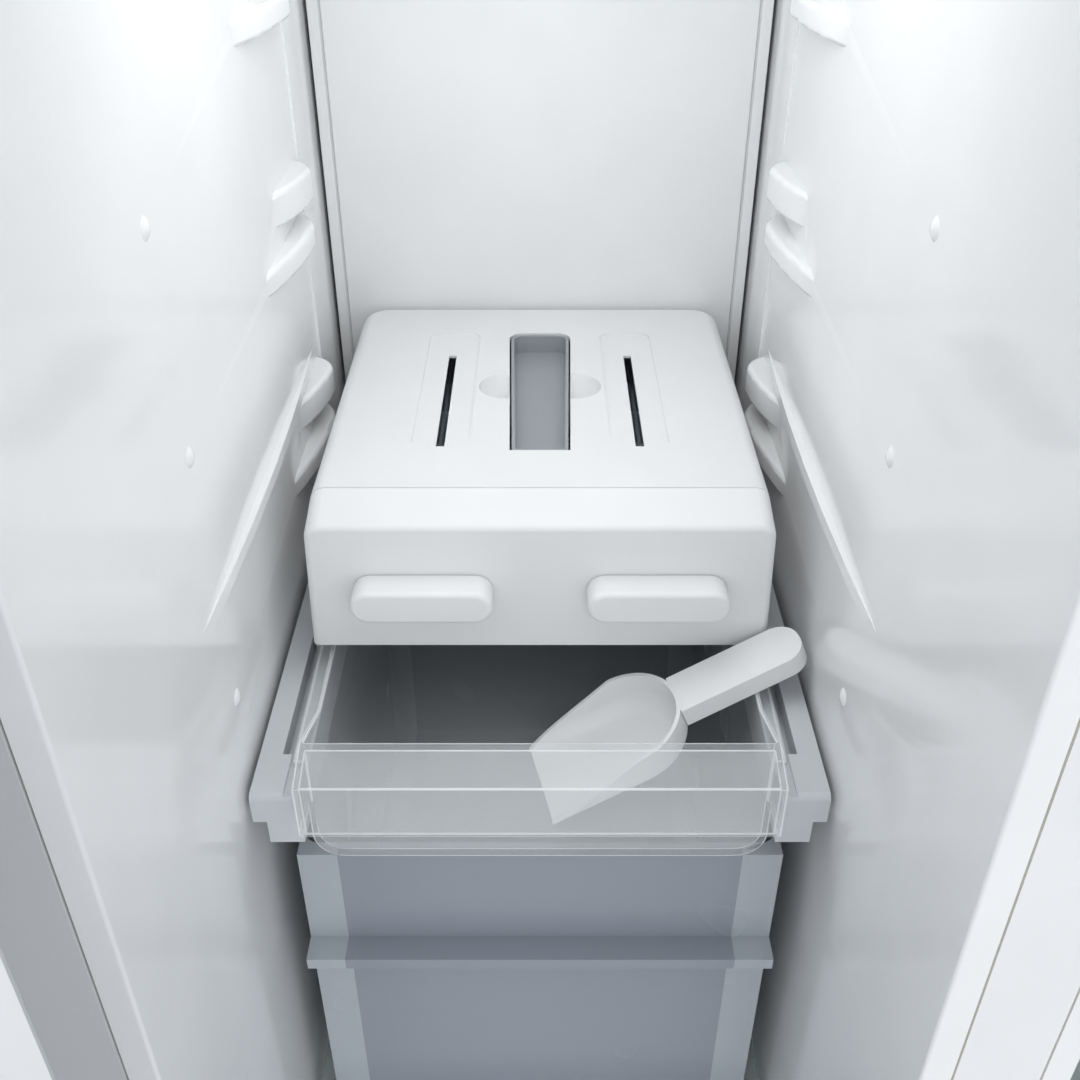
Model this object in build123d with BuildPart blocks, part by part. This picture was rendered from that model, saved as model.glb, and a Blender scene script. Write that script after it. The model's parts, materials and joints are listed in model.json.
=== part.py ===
from build123d import *
import math
import os

# A side by side refrigerator with both doors standing open, in millimetres.
# The origin is the centre of the front left foot's sole, on the floor.
# +X runs to the right along the front, +Y runs to the back and +Z is up.

# Cabinet
CASE_WIDTH = 910.0
CASE_DEPTH = 630.0
CASE_HEIGHT = 1720.0
SHEET = 1.0
SIDE_WALL = 55.0
MULLION = 60.0
TOP_WALL = 60.0
FLOOR_WALL = 70.0
BACK_WALL = 50.0
LINER_WALL = 2.0
LINER_FLANGE = 12.0
FLANGE_GAP = 1.0
MOUTH_RADIUS = 1.6
FREEZER_WIDTH = 300.0
EVAPORATOR_SPACE = 46.0

# Machine compartment, at the bottom of the back
MACHINE_HEIGHT = 230.0
MACHINE_DEPTH = 190.0
MACHINE_WALL = 45.0

# Floor supports
FOOT_SIDE_INSET = 45.0
FOOT_FRONT_INSET = 40.0
FOOT_CLEARANCE = 40.0
FOOT_RADIUS = 22.0
FOOT_PAD = 10.0
FOOT_CHAMFER = 3.0
STUD_RADIUS = 8.0
STUD_TIP_GAP = 2.0
BOSS_WALL = 6.0
BOSS_HEIGHT = 18.0
ROLLER_RADIUS = 18.0
ROLLER_WIDTH = 24.0
ROLLER_EDGE = 2.0
ROLLER_BACK_INSET = 45.0
ROLLER_SIDE_GAP = 1.0
AXLE_RADIUS = 4.0
AXLE_CHEEK = 3.0
CHEEK_MARGIN = 8.0
CHEEK_SIDE_MARGIN = 4.0
RUNNING_FIT = 0.05
TOE_GRILLE_SETBACK = 6.0
TOE_GRILLE_THICKNESS = 6.0
TOE_GRILLE_LIFT = 6.0
TOE_GRILLE_SIDE_GAP = 4.0
TOE_SLOT_LENGTH = 34.0
TOE_SLOT_HEIGHT = 6.0
TOE_SLOT_PITCH = 44.0
TOE_SLOT_ROW_PITCH = 12.0

# Doors and their hinges
DOOR_THICKNESS = 56.0
DOOR_GAP = 12.0
DOOR_SPLIT_GAP = 4.0
DOOR_EDGE_RADIUS = 9.0
DOOR_REST_ANGLE = 135.0
HINGE_PIN_RADIUS = 6.0
HINGE_PIN_LENGTH = 22.0
HINGE_SIDE_INSET = 20.0
HINGE_FRONT_INSET = 18.0
HINGE_PLATE = 4.0
HINGE_PLATE_MARGIN = 14.0
HINGE_PLATE_REACH = 40.0
HINGE_PLATE_TAIL = 70.0
HINGE_TAB_HEIGHT = 18.0
HINGE_DOOR_GAP = 3.0
HINGE_COVER_HEIGHT = 26.0
HINGE_COVER_WALL = 3.0
HINGE_COVER_ROOM = 2.0
HINGE_COVER_RADIUS = 8.0
HINGE_COVER_CHAMFER = 1.5
BUSH_WALL = 4.0
BUSH_LENGTH = 26.0
GASKET_INSET = 6.0
GASKET_WIDTH = 16.0
GASKET_GAP = 0.8
DIKE_CLEARANCE = 16.0
DIKE_WALL = 32.0
DIKE_DEPTH = 30.0
DIKE_RADIUS = 4.0
DOOR_BIN_REACH = 116.0
DOOR_BIN_WALL = 3.0
DOOR_BIN_HEIGHT = 96.0
DOOR_BIN_RADIUS = 14.0
DOOR_BIN_MARGIN = 30.0
FREEZER_DOOR_BINS = 5
FRIDGE_DOOR_BINS = 4
HANDLE_LENGTH = 900.0
HANDLE_EDGE_INSET = 42.0
HANDLE_STANDOFF = 34.0
HANDLE_BAR_WIDTH = 24.0
HANDLE_BAR_DEPTH = 16.0
HANDLE_BAR_RADIUS = 7.0
HANDLE_POST_LENGTH = 36.0
HANDLE_POST_INSET = 60.0
HANDLE_POST_SIDE_INSET = 3.5
HANDLE_CENTRE = 1010.0

# Shelf supports on the freezer's side walls
LEDGE_FRONT = 345.0
LEDGE_BACK = 455.0
LEDGE_REACH = 13.0
LEDGE_THICKNESS = 14.0
LEDGE_PITCH = 130.0
LEDGE_FIRST = 73.0
LEDGE_TOP_ROOM = 110.0
LEAF_SWELL = 0.75
LEAF_FRONT_FULLNESS = 0.72
LEAF_BACK_FULLNESS = 0.8
LEAF_RADIUS = 3.5
KEEPER_FRONT = 385.0
KEEPER_LIFT = 12.0
KEEPER_THICKNESS = 20.0
PEG_SETBACK = 172.0
PEG_RADIUS = 5.0
PEG_REACH = 8.0
PEG_GAP = 0.2
BUMP_HEIGHTS = (48.0, 185.0, 285.0)
BUMP_RADIUS = 4.8
BUMP_REACH = 1.8
SPINDLE_HEIGHT = 110.0
SPINDLE_FRONT = 144.0
SPINDLE_BACK = 443.0
SPINDLE_REACH = 4.5
SPINDLE_THICKNESS = 7.0
FLUTE_FRONT = 462.0
FLUTE_WIDTH = 44.0
FLUTE_REACH = 1.5

# Freezer shelves and drawers
SHELF_HEIGHT = 1120.0
SHELF_SIDE_GAP = 3.0
SHELF_FRONT = 151.0
SHELF_REAR_GAP = 12.0
RAIL_TOP_WIDTH = 12.0
RAIL_THICKNESS = 18.5
RAIL_RADIUS = 4.0
SKIRT_DROP = 15.0
SKIRT_INSET = 7.0
GROOVE_WIDTH = 5.0
GROOVE_DEPTH = 12.0
GROOVE_FRONT_GAP = 30.0
SLIDE_LEDGE_DROP = 1.5
RAIL_REAR_BAR = 18.0
RAIL_LEDGE_GAP = 0.5
RAIL_LEDGE_THICKNESS = 10.0
RAIL_LEDGE_SETBACK = 14.0
GLASS = 5.0
SHELF_TRIM_DEPTH = 10.0
SHELF_TRIM_HEIGHT = 14.0
SHELF_TRIM_RADIUS = 2.5
SHELF_CLEARANCE = 2.0
MIDDLE_SHELF_DROP = 300.0
LOWER_SHELF_SHARE = 0.55
DRAWER_HEADROOM = 54.0
DRAWER_SETBACK = 174.0
DRAWER_WALL = 3.0
DRAWER_FRONT_WALL = 6.0
DRAWER_SIDE_GAP = 4.0
DRAWER_REAR_GAP = 8.0
DRAWER_RADIUS = 10.0
DRAWER_FLOOR_GAP = 0.5
DRAWER_PULL_DROP = 70.0
DRAWER_PULL_DEPTH = 16.0
DRAWER_PULL_HEIGHT = 8.0
UPPER_DRAWER_HEIGHT = 236.0

# Ice bin and its pull
BIN_SLIDE_GAP = 1.5
BIN_WALL = 2.5
BIN_FRONT = 160.0
BIN_BACK_GAP = 6.0
BIN_RIM = 8.5
BIN_DEPTH_BELOW = 55.5
BIN_RADIUS = 17.0
BIN_FLANGE_WIDTH = 8.0
BIN_FLANGE_THICKNESS = 2.5
BIN_FLANGE_GAP = 0.3
BIN_FLANGE_SETBACK = 14.0
BIN_FRONT_RISE = 26.5
BIN_SHOULDER = 44.0
PULL_FRONT = 136.0
PULL_RIDGE = 20.5
PULL_DROP = 12.5

# Ice maker
MAKER_SIDE_INSET = 24.0
MAKER_FRONT = 252.0
MAKER_BACK_GAP = 4.0
MAKER_BOTTOM = 15.5
MAKER_HEIGHT = 88.0
MAKER_DRAFT = 3.0
MAKER_TOP_RADIUS = 9.0
MAKER_BACK_RADIUS = 18.0
MAKER_WALL = 3.0
MAKER_BROW_DROP = 8.0
MAKER_BROW_DEPTH = 27.0
MAKER_BROW_RADIUS = 4.0
MAKER_LID_DEPTH = 18.0
MAKER_LID_GAP = 0.6
MAKER_BLADE = 2.0
MAKER_BLADE_SETBACK = 26.0
MAKER_WEB = 6.0
MAKER_WEB_HEIGHT = 22.0
TRAY_AXIS_SIDE = 64.0
TRAY_AXIS_HEIGHT = 39.0
TRAY_WIDTH = 60.0
TRAY_HEIGHT = 26.0
TRAY_END_GAP = 6.0
TRAY_WALL = 2.0
TRAY_CUPS = 6
TRAY_CUP_DRAFT = 8.0
TRAY_SHAFT_RADIUS = 6.0
TRAY_SHAFT_END = 10.0
KNOB_WIDTH = 77.0
KNOB_HEIGHT = 20.5
KNOB_REACH = 18.0
KNOB_GAP = 0.6
KNOB_EDGE = 3.0
FILL_PANEL_SIDE = 58.0
FILL_PANEL_WIDTH = 34.0
FILL_PANEL_FRONT = 324.0
FILL_PANEL_LENGTH = 158.0
FILL_PANEL_DEPTH = 1.2
FILL_PANEL_RADIUS = 6.0
FILL_SLIT_WIDTH = 5.0
FILL_SLIT_FRONT = 327.0
FILL_SLIT_LENGTH = 122.0
TROUGH_SLOT_FRONT = 320.5
TROUGH_SLOT_LENGTH = 162.0
TROUGH_SLOT_FRONT_WIDTH = 35.0
TROUGH_SLOT_BACK_WIDTH = 42.0
TROUGH_GAP = 1.2
TROUGH_WALL = 2.0
TROUGH_CHANNEL = 12.0
TROUGH_TOP_DROP = 1.0
TROUGH_RADIUS = 9.0
FINGER_CENTRE = 402.0
FINGER_RADIUS = 19.0
FINGER_RISE = 7.0
FINGER_WALL = 2.0

# Ice scoop, lying in the bin with its handle on the bin's right rim
SCOOP_TIP_SIDE = 2.0
SCOOP_TIP_SETBACK = 206.0
SCOOP_HEADING = 13.0
SCOOP_LENGTH = 166.0
SCOOP_BOWL_LENGTH = 92.0
SCOOP_BOWL_WIDTH = 66.0
SCOOP_BOWL_DEPTH = 24.0
SCOOP_BOWL_RADIUS = 12.0
SCOOP_WALL = 2.2
SCOOP_HANDLE_WIDTH = 28.0
SCOOP_HANDLE_THICKNESS = 12.0
SCOOP_HANDLE_RADIUS = 12.8
SCOOP_LIP = 4.4
SCOOP_REST_GAP = 0.3

# Cold air parts behind the freezer's rear cover
COVER_THICKNESS = 3.0
COVER_SIDE_GAP = 2.5
COVER_RETURN = 2.0
COVER_SEAM_INSET = 8.0
COVER_SEAM_WIDTH = 1.2
COVER_SEAM_DEPTH = 1.0
COVER_SLOT_LENGTH = 90.0
COVER_SLOT_HEIGHT = 6.0
COVER_SLOT_PITCH = 16.0
COVER_SLOT_ROWS = 5
EVAPORATOR_HEIGHT = 220.0
EVAPORATOR_LIFT = 40.0
EVAPORATOR_SIDE_GAP = 24.0
EVAPORATOR_DEPTH = 34.0
FIN_THICKNESS = 1.0
TUBE_RADIUS = 4.0
EVAPORATOR_FINS = 18
EVAPORATOR_ROWS = 6
AIR_FAN_DROP = 170.0
AIR_FAN_RADIUS = 50.0
AIR_MOTOR_RADIUS = 20.0
AIR_MOTOR_LENGTH = 16.0
FAN_SHAFT_RADIUS = 3.0
FAN_HUB_RADIUS = 13.0
FAN_HUB_LENGTH = 12.0
FAN_BLADE_THICKNESS = 1.6
FAN_BLADE_CHORD = 13.0
FAN_BLADE_ROOT = 6.5
FAN_BLADE_TILT = 28.0
FAN_BLADES = 5
FAN_MOTOR_GAP = 2.0

# Machine parts
COMPRESSOR_RADIUS = 68.0
COMPRESSOR_HEIGHT = 150.0
COMPRESSOR_DOME = 30.0
COMPRESSOR_PLATE = 4.0
COMPRESSOR_PLATE_WIDTH = 170.0
COMPRESSOR_PLATE_DEPTH = 140.0
COMPRESSOR_FROM_SIDE = 150.0
MOUNT_HEIGHT = 14.0
MOUNT_RADIUS = 11.0
MOUNT_INSET = 16.0
CONDENSER_FROM_SIDE = 90.0
CONDENSER_WIDTH = 190.0
CONDENSER_DEPTH = 130.0
CONDENSER_HEIGHT = 160.0
CONDENSER_FINS = 24
CONDENSER_ROWS = 5
CONDENSER_FAN_RADIUS = 68.0
CONDENSER_FAN_GAP = 70.0
CONDENSER_FAN_HEIGHT = 90.0
CONDENSER_MOTOR_RADIUS = 26.0
CONDENSER_MOTOR_LENGTH = 34.0
MOTOR_POST_WIDTH = 20.0
DRAIN_PAN_HEIGHT = 40.0
DRAIN_PAN_WALL = 2.0
DRAIN_PAN_RADIUS = 8.0
DRAIN_PAN_LEFT_GAP = 63.0
DRAIN_PAN_RIGHT_GAP = 20.0
DRAIN_PAN_DEPTH = 120.0
MACHINE_SLOT_LENGTH = 60.0
MACHINE_SLOT_HEIGHT = 7.0
MACHINE_SLOT_PITCH = 18.0
MACHINE_SLOT_ROWS = 7
MACHINE_SLOT_COLUMN = 84.0
INLET_WIDTH = 46.0
INLET_HEIGHT = 30.0
INLET_DEPTH = 22.0
INLET_WALL = 3.0
INLET_FROM_SIDE = 70.0
INLET_LIFT = 40.0

# Fridge compartment
FRIDGE_LEDGE_REACH = 10.0
FRIDGE_LEDGE_THICKNESS = 8.0
FRIDGE_SHELF_HEIGHTS = (700.0, 985.0, 1290.0)
CRISPER_COVER_HEIGHT = 392.0
CRISPER_HEIGHT = 262.0
CRISPER_SPLIT_GAP = 10.0
DUCT_WIDTH = 230.0
DUCT_DEPTH = 26.0
DUCT_WALL = 3.0
DUCT_RADIUS = 10.0
DUCT_END_GAP = 30.0
DUCT_SLOT_LENGTH = 90.0
DUCT_SLOT_HEIGHT = 8.0
DUCT_SLOT_LIFT = 48.0
LAMP_WIDTH = 120.0
LAMP_DEPTH = 60.0
LAMP_HEIGHT = 10.0
LAMP_RADIUS = 6.0
LAMP_EDGE = 3.0
LAMP_SETBACK = 260.0
CONTROL_WIDTH = 180.0
CONTROL_DEPTH = 70.0
CONTROL_HEIGHT = 16.0
CONTROL_RADIUS = 8.0
CONTROL_EDGE = 4.0
CONTROL_SETBACK = 150.0

# Places that follow from the sizes above
CASE_LEFT = -FOOT_SIDE_INSET
CASE_RIGHT = CASE_LEFT + CASE_WIDTH
CASE_FRONT = -FOOT_FRONT_INSET
CASE_BACK = CASE_FRONT + CASE_DEPTH
CASE_BOTTOM = FOOT_CLEARANCE
CASE_TOP = CASE_BOTTOM + CASE_HEIGHT
SKIN_BACK = CASE_FRONT + LINER_WALL
FREEZER = (CASE_LEFT + SIDE_WALL, CASE_LEFT + SIDE_WALL + FREEZER_WIDTH)
FRIDGE = (FREEZER[1] + MULLION, CASE_RIGHT - SIDE_WALL)
FREEZER_CENTRE = sum(FREEZER) / 2
FRIDGE_CENTRE = sum(FRIDGE) / 2
INSIDE_BOTTOM = CASE_BOTTOM + FLOOR_WALL
INSIDE_TOP = CASE_TOP - TOP_WALL
INSIDE_BACK = CASE_BACK - BACK_WALL
MACHINE_FRONT = CASE_BACK - MACHINE_DEPTH
MACHINE_TOP = CASE_BOTTOM + MACHINE_HEIGHT
STEP_FRONT = MACHINE_FRONT - MACHINE_WALL
STEP_TOP = MACHINE_TOP + MACHINE_WALL
COVER_FRONT = INSIDE_BACK - EVAPORATOR_SPACE
FLANGE_REACH = LINER_FLANGE + FLANGE_GAP
WINDOW = (FREEZER[0] - FLANGE_REACH, FRIDGE[1] + FLANGE_REACH)
BASE_LIP_TOP = INSIDE_BOTTOM - FLANGE_REACH
WINDOW_TOP = INSIDE_TOP + FLANGE_REACH
INNER_CASE = (CASE_LEFT + SHEET, CASE_RIGHT - SHEET)
DOOR_BACK = CASE_FRONT - DOOR_GAP
DOOR_FRONT = DOOR_BACK - DOOR_THICKNESS
DOOR_BOTTOM = CASE_BOTTOM + HINGE_PLATE + HINGE_DOOR_GAP
DOOR_TOP = CASE_TOP - HINGE_DOOR_GAP
DOOR_SPLIT = FREEZER[1] + MULLION / 2
HINGE_Y = DOOR_FRONT + HINGE_FRONT_INSET
LEFT_HINGE_X = CASE_LEFT + HINGE_SIDE_INSET
RIGHT_HINGE_X = CASE_RIGHT - HINGE_SIDE_INSET
BUSH_RADIUS = HINGE_PIN_RADIUS + BUSH_WALL
FOOT_PLACES = ((0.0, "front_left_foot"), (CASE_WIDTH - 2 * FOOT_SIDE_INSET, "front_right_foot"))
ROLLER_PLACES = ((0.0, "rear_left_roller"), (CASE_WIDTH - 2 * FOOT_SIDE_INSET, "rear_right_roller"))
ROLLER_Y = CASE_BACK - ROLLER_BACK_INSET
SHELF_HALF = FREEZER_WIDTH / 2 - SHELF_SIDE_GAP
RAIL_INNER_TOP = SHELF_HALF - RAIL_TOP_WIDTH
GROOVE = (RAIL_INNER_TOP - GROOVE_WIDTH, RAIL_INNER_TOP)
BIN_HALF = GROOVE[0] - BIN_SLIDE_GAP - BIN_FLANGE_WIDTH
RAIL_INNER = BIN_HALF + BIN_SLIDE_GAP
SLIDE_LEDGE = SHELF_HEIGHT - SLIDE_LEDGE_DROP
SHELF_BACK = COVER_FRONT - SHELF_REAR_GAP
BIN_BACK = SHELF_BACK - RAIL_REAR_BAR - BIN_BACK_GAP
BIN_FLOOR = SHELF_HEIGHT - BIN_DEPTH_BELOW + BIN_WALL
MAKER_HALF = FREEZER_WIDTH / 2 - MAKER_SIDE_INSET
MAKER_BACK = COVER_FRONT - MAKER_BACK_GAP
MAKER_BASE = SHELF_HEIGHT + MAKER_BOTTOM
MAKER_TOP = MAKER_BASE + MAKER_HEIGHT
MAKER_FACE = CASE_FRONT + MAKER_FRONT
MAKER_PARTING = MAKER_FACE + MAKER_BROW_DEPTH
LID_BOTTOM = MAKER_TOP - MAKER_LID_DEPTH
TRAY_AXIS_Z = MAKER_BASE + TRAY_AXIS_HEIGHT
TROUGH_BOTTOM = TRAY_AXIS_Z + MAKER_WEB_HEIGHT / 2
TROUGH_TOP = MAKER_TOP - TROUGH_TOP_DROP
MIDDLE_SHELF = SHELF_HEIGHT - MIDDLE_SHELF_DROP
LOWER_SHELF = INSIDE_BOTTOM + LOWER_SHELF_SHARE * (MIDDLE_SHELF - INSIDE_BOTTOM)
LEDGE_START = SHELF_HEIGHT + LEDGE_FIRST
LEDGE_COUNT = 1 + int((INSIDE_TOP - LEDGE_TOP_ROOM - LEDGE_START) // LEDGE_PITCH)
UPPER_SHELF = LEDGE_START + (LEDGE_COUNT - 1) * LEDGE_PITCH
MIDDLE_DRAWER_HEIGHT = MIDDLE_SHELF - LOWER_SHELF - SHELF_TRIM_HEIGHT - DRAWER_HEADROOM
LOWER_DRAWER_HEIGHT = LOWER_SHELF - INSIDE_BOTTOM - SHELF_TRIM_HEIGHT - DRAWER_HEADROOM
FREEZER_SHELVES = (LOWER_SHELF, MIDDLE_SHELF, UPPER_SHELF)
DRAWER_HALF = FREEZER_WIDTH / 2 - LEDGE_REACH - DRAWER_SIDE_GAP
AIR_FAN_Z = INSIDE_TOP - AIR_FAN_DROP
DOORS = (
    ("freezer", (CASE_LEFT, DOOR_SPLIT - DOOR_SPLIT_GAP / 2), FREEZER, LEFT_HINGE_X, -1, FREEZER_DOOR_BINS),
    ("fridge", (DOOR_SPLIT + DOOR_SPLIT_GAP / 2, CASE_RIGHT), FRIDGE, RIGHT_HINGE_X, 1, FRIDGE_DOOR_BINS),
)

os.makedirs("parts", exist_ok=True)


def save(piece, name):
    """Labels a finished piece and writes its file."""
    piece.label = name
    export_step(piece, f"parts/{name}.step")


def middle(limits):
    """The middle of a (low, high) pair."""
    return (limits[0] + limits[1]) / 2


def span(limits):
    """The length of a (low, high) pair."""
    return limits[1] - limits[0]


def about(centre, half):
    """The (low, high) pair that lies evenly about a centre."""
    return (centre - half, centre + half)


def add_box(x, y, z, mode=Mode.ADD):
    """A box from its low and high limits on each axis."""
    with Locations((middle(x), middle(y), middle(z))):
        Box(span(x), span(y), span(z), mode=mode)


def add_across(points, x, mode=Mode.ADD):
    """An outline of (y, z) points carried across the width from x[0] to x[1]."""
    with BuildSketch(Plane.YZ.offset(x[0])) as outline:
        with BuildLine():
            Polyline(*points, close=True)
        make_face()
    extrude(outline.sketch, amount=span(x), mode=mode)


def add_pillar(x, y, z, radius, mode=Mode.ADD):
    """An upright block whose four standing edges are rounded."""
    with BuildSketch(Plane.XY.offset(z[0])) as outline:
        with Locations((middle(x), middle(y))):
            RectangleRounded(span(x), span(y), radius)
    extrude(outline.sketch, amount=span(z), mode=mode)


def add_rod(start, end, radius, mode=Mode.ADD):
    """A round rod between two points."""
    axis = Vector(*end) - Vector(*start)
    with BuildSketch(Plane(origin=start, z_dir=axis)) as section:
        Circle(radius)
    extrude(section.sketch, amount=axis.length, mode=mode)


def add_tub(x, y, z, wall, radius):
    """An open topped tub with rounded standing edges."""
    add_pillar(x, y, z, radius)
    inside = (x[0] + wall, x[1] - wall), (y[0] + wall, y[1] - wall), (z[0] + wall, z[1])
    add_pillar(*inside, radius - wall, mode=Mode.SUBTRACT)


def add_finned_coil(x, y, z, fins, rows):
    """Upright fins strung on level tubes, as in a cold or hot coil."""
    pitch = (span(x) - FIN_THICKNESS) / (fins - 1)
    for fin in range(fins):
        left = x[0] + fin * pitch
        add_box((left, left + FIN_THICKNESS), y, z)
    for row in range(rows):
        height = z[0] + (row + 0.5) * span(z) / rows
        add_rod((x[0], middle(y), height), (x[1], middle(y), height), TUBE_RADIUS)


def add_fan(centre, axis, radius):
    """A hub, bored for its shaft, with tilted flat blades around it."""
    face = Plane(origin=centre, z_dir=axis)
    blade_length = radius - FAN_BLADE_ROOT
    with Locations(face):
        with PolarLocations(FAN_BLADE_ROOT + blade_length / 2, FAN_BLADES):
            Box(
                blade_length,
                FAN_BLADE_CHORD,
                FAN_BLADE_THICKNESS,
                rotation=(FAN_BLADE_TILT, 0, 0),
            )
        Cylinder(FAN_HUB_RADIUS, FAN_HUB_LENGTH)
        Cylinder(FAN_SHAFT_RADIUS + RUNNING_FIT, FAN_HUB_LENGTH, mode=Mode.SUBTRACT)


def cavity_outline(grow):
    """The (y, z) outline of a compartment, stepped over the machine compartment, grown by a wall."""
    return (
        (SKIN_BACK, INSIDE_BOTTOM - grow),
        (STEP_FRONT + grow, INSIDE_BOTTOM - grow),
        (STEP_FRONT + grow, STEP_TOP - grow),
        (INSIDE_BACK + grow, STEP_TOP - grow),
        (INSIDE_BACK + grow, INSIDE_TOP + grow),
        (SKIN_BACK, INSIDE_TOP + grow),
    )


def grown(limits, amount):
    """A (low, high) pair grown by an amount at both ends."""
    return (limits[0] - amount, limits[1] + amount)


# Outer case: one folded sheet for the sides and the top, with a flange around the front
with BuildPart() as outer_case:
    add_box((CASE_LEFT, CASE_RIGHT), (CASE_FRONT, CASE_BACK), (CASE_BOTTOM, CASE_TOP))
    add_box(INNER_CASE, (SKIN_BACK, CASE_BACK), (CASE_BOTTOM, CASE_TOP - SHEET), mode=Mode.SUBTRACT)
    add_box(WINDOW, (CASE_FRONT, SKIN_BACK), (CASE_BOTTOM, WINDOW_TOP), mode=Mode.SUBTRACT)
save(outer_case.part, "outer_case")

with BuildPart() as back_panel:
    add_box(INNER_CASE, (CASE_BACK - SHEET, CASE_BACK), (MACHINE_TOP, CASE_TOP - SHEET))
save(back_panel.part, "back_panel")

# Base pan: floor sheet, front lip, machine compartment walls and the bosses of the front feet
with BuildPart() as base_pan:
    add_box(INNER_CASE, (SKIN_BACK, CASE_BACK), (CASE_BOTTOM, CASE_BOTTOM + SHEET))
    add_box(WINDOW, (CASE_FRONT, SKIN_BACK), (CASE_BOTTOM, BASE_LIP_TOP))
    add_box(INNER_CASE, (MACHINE_FRONT - SHEET, MACHINE_FRONT), (CASE_BOTTOM, MACHINE_TOP + SHEET))
    add_box(INNER_CASE, (MACHINE_FRONT, CASE_BACK - SHEET), (MACHINE_TOP, MACHINE_TOP + SHEET))
    for foot_x, _ in FOOT_PLACES:
        boss_foot = (foot_x, 0, CASE_BOTTOM - BOSS_HEIGHT)
        add_rod(boss_foot, (foot_x, 0, CASE_BOTTOM), STUD_RADIUS + BOSS_WALL)
        add_rod(boss_foot, (foot_x, 0, CASE_BOTTOM), STUD_RADIUS + RUNNING_FIT, mode=Mode.SUBTRACT)
save(base_pan.part, "base_pan")

# Foam that fills the walls between the case and the liners
with BuildPart() as cabinet_foam:
    add_box(INNER_CASE, (SKIN_BACK, CASE_BACK - SHEET), (CASE_BOTTOM + SHEET, CASE_TOP - SHEET))
    machine_room = (MACHINE_FRONT - SHEET, CASE_BACK), (CASE_BOTTOM, MACHINE_TOP + SHEET)
    add_box(INNER_CASE, *machine_room, mode=Mode.SUBTRACT)
    for compartment in (FREEZER, FRIDGE):
        add_across(cavity_outline(LINER_WALL), grown(compartment, LINER_WALL), mode=Mode.SUBTRACT)
save(cabinet_foam.part, "cabinet_foam")


def add_liner(compartment):
    """A compartment's shell with the flange around its mouth."""
    add_across(cavity_outline(LINER_WALL), grown(compartment, LINER_WALL))
    flange_height = grown((INSIDE_BOTTOM, INSIDE_TOP), LINER_FLANGE)
    add_box(grown(compartment, LINER_FLANGE), (CASE_FRONT, SKIN_BACK), flange_height)
    add_across(cavity_outline(0), compartment, mode=Mode.SUBTRACT)
    add_box(compartment, (CASE_FRONT, SKIN_BACK), (INSIDE_BOTTOM, INSIDE_TOP), mode=Mode.SUBTRACT)


def mouth_edges(liner, compartment):
    """The four edges around a liner's mouth."""
    level = liner.edges().filter_by_position(Axis.Y, CASE_FRONT, CASE_FRONT)
    inside = level.filter_by_position(Axis.X, *compartment)
    return inside.filter_by_position(Axis.Z, INSIDE_BOTTOM, INSIDE_TOP)


def wall_leaf(side, front, z):
    """A support on a freezer wall: pointed at the front, swelling to its full reach, rounded behind."""
    wall = FREEZER[0] if side < 0 else FREEZER[1]
    front = CASE_FRONT + front
    back = CASE_FRONT + LEDGE_BACK
    with BuildPart() as leaf:
        with BuildSketch(Plane.XY.offset(z[0])):
            with BuildLine():
                inner = wall - side * LEDGE_REACH
                swell = front + LEAF_SWELL * (back - front)
                Line((wall, back), (wall, front))
                front_bow = (wall - side * LEAF_FRONT_FULLNESS * LEDGE_REACH, (front + swell) / 2)
                back_bow = (wall - side * LEAF_BACK_FULLNESS * LEDGE_REACH, (swell + back) / 2)
                ThreePointArc((wall, front), front_bow, (inner, swell))
                ThreePointArc((inner, swell), back_bow, (wall, back))
            make_face()
        extrude(amount=span(z))
        fillet(leaf.edges().filter_by(GeomType.CIRCLE), LEAF_RADIUS)
    return leaf.part


def add_spindle(side):
    """The long low rib on a freezer wall, drawn out to a point at both ends."""
    wall = FREEZER[0] if side < 0 else FREEZER[1]
    front = CASE_FRONT + SPINDLE_FRONT
    back = CASE_FRONT + SPINDLE_BACK
    rib_height = SHELF_HEIGHT + SPINDLE_HEIGHT
    with BuildSketch(Plane.XY.offset(rib_height - SPINDLE_THICKNESS)) as outline:
        with BuildLine():
            Line((wall, front), (wall, back))
            ThreePointArc((wall, front), (wall - side * SPINDLE_REACH, (front + back) / 2), (wall, back))
        make_face()
    extrude(outline.sketch, amount=SPINDLE_THICKNESS)


def add_bump(side, height):
    """A small domed bump on a freezer wall, a cap cut from a ball."""
    wall = FREEZER[0] if side < 0 else FREEZER[1]
    ball = (BUMP_RADIUS**2 + BUMP_REACH**2) / (2 * BUMP_REACH)
    cap_start = math.degrees(math.asin((ball - BUMP_REACH) / ball))
    with Locations(Plane(origin=(wall, CASE_FRONT + PEG_SETBACK, height), z_dir=(-side, 0, 0))):
        Sphere(ball, arc_size1=cap_start, align=(Align.CENTER, Align.CENTER, Align.MIN))


freezer_levels = [LEDGE_START + level * LEDGE_PITCH for level in range(LEDGE_COUNT)]
freezer_levels += [LOWER_SHELF, MIDDLE_SHELF]
wall_leaves = []
for level in freezer_levels:
    ledge_z = (level - GLASS - LEDGE_THICKNESS, level - GLASS)
    keeper_z = (level - GLASS + KEEPER_LIFT, level - GLASS + KEEPER_LIFT + KEEPER_THICKNESS)
    for side in (-1, 1):
        wall_leaves.append(wall_leaf(side, LEDGE_FRONT, ledge_z))
        wall_leaves.append(wall_leaf(side, KEEPER_FRONT, keeper_z))

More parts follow.
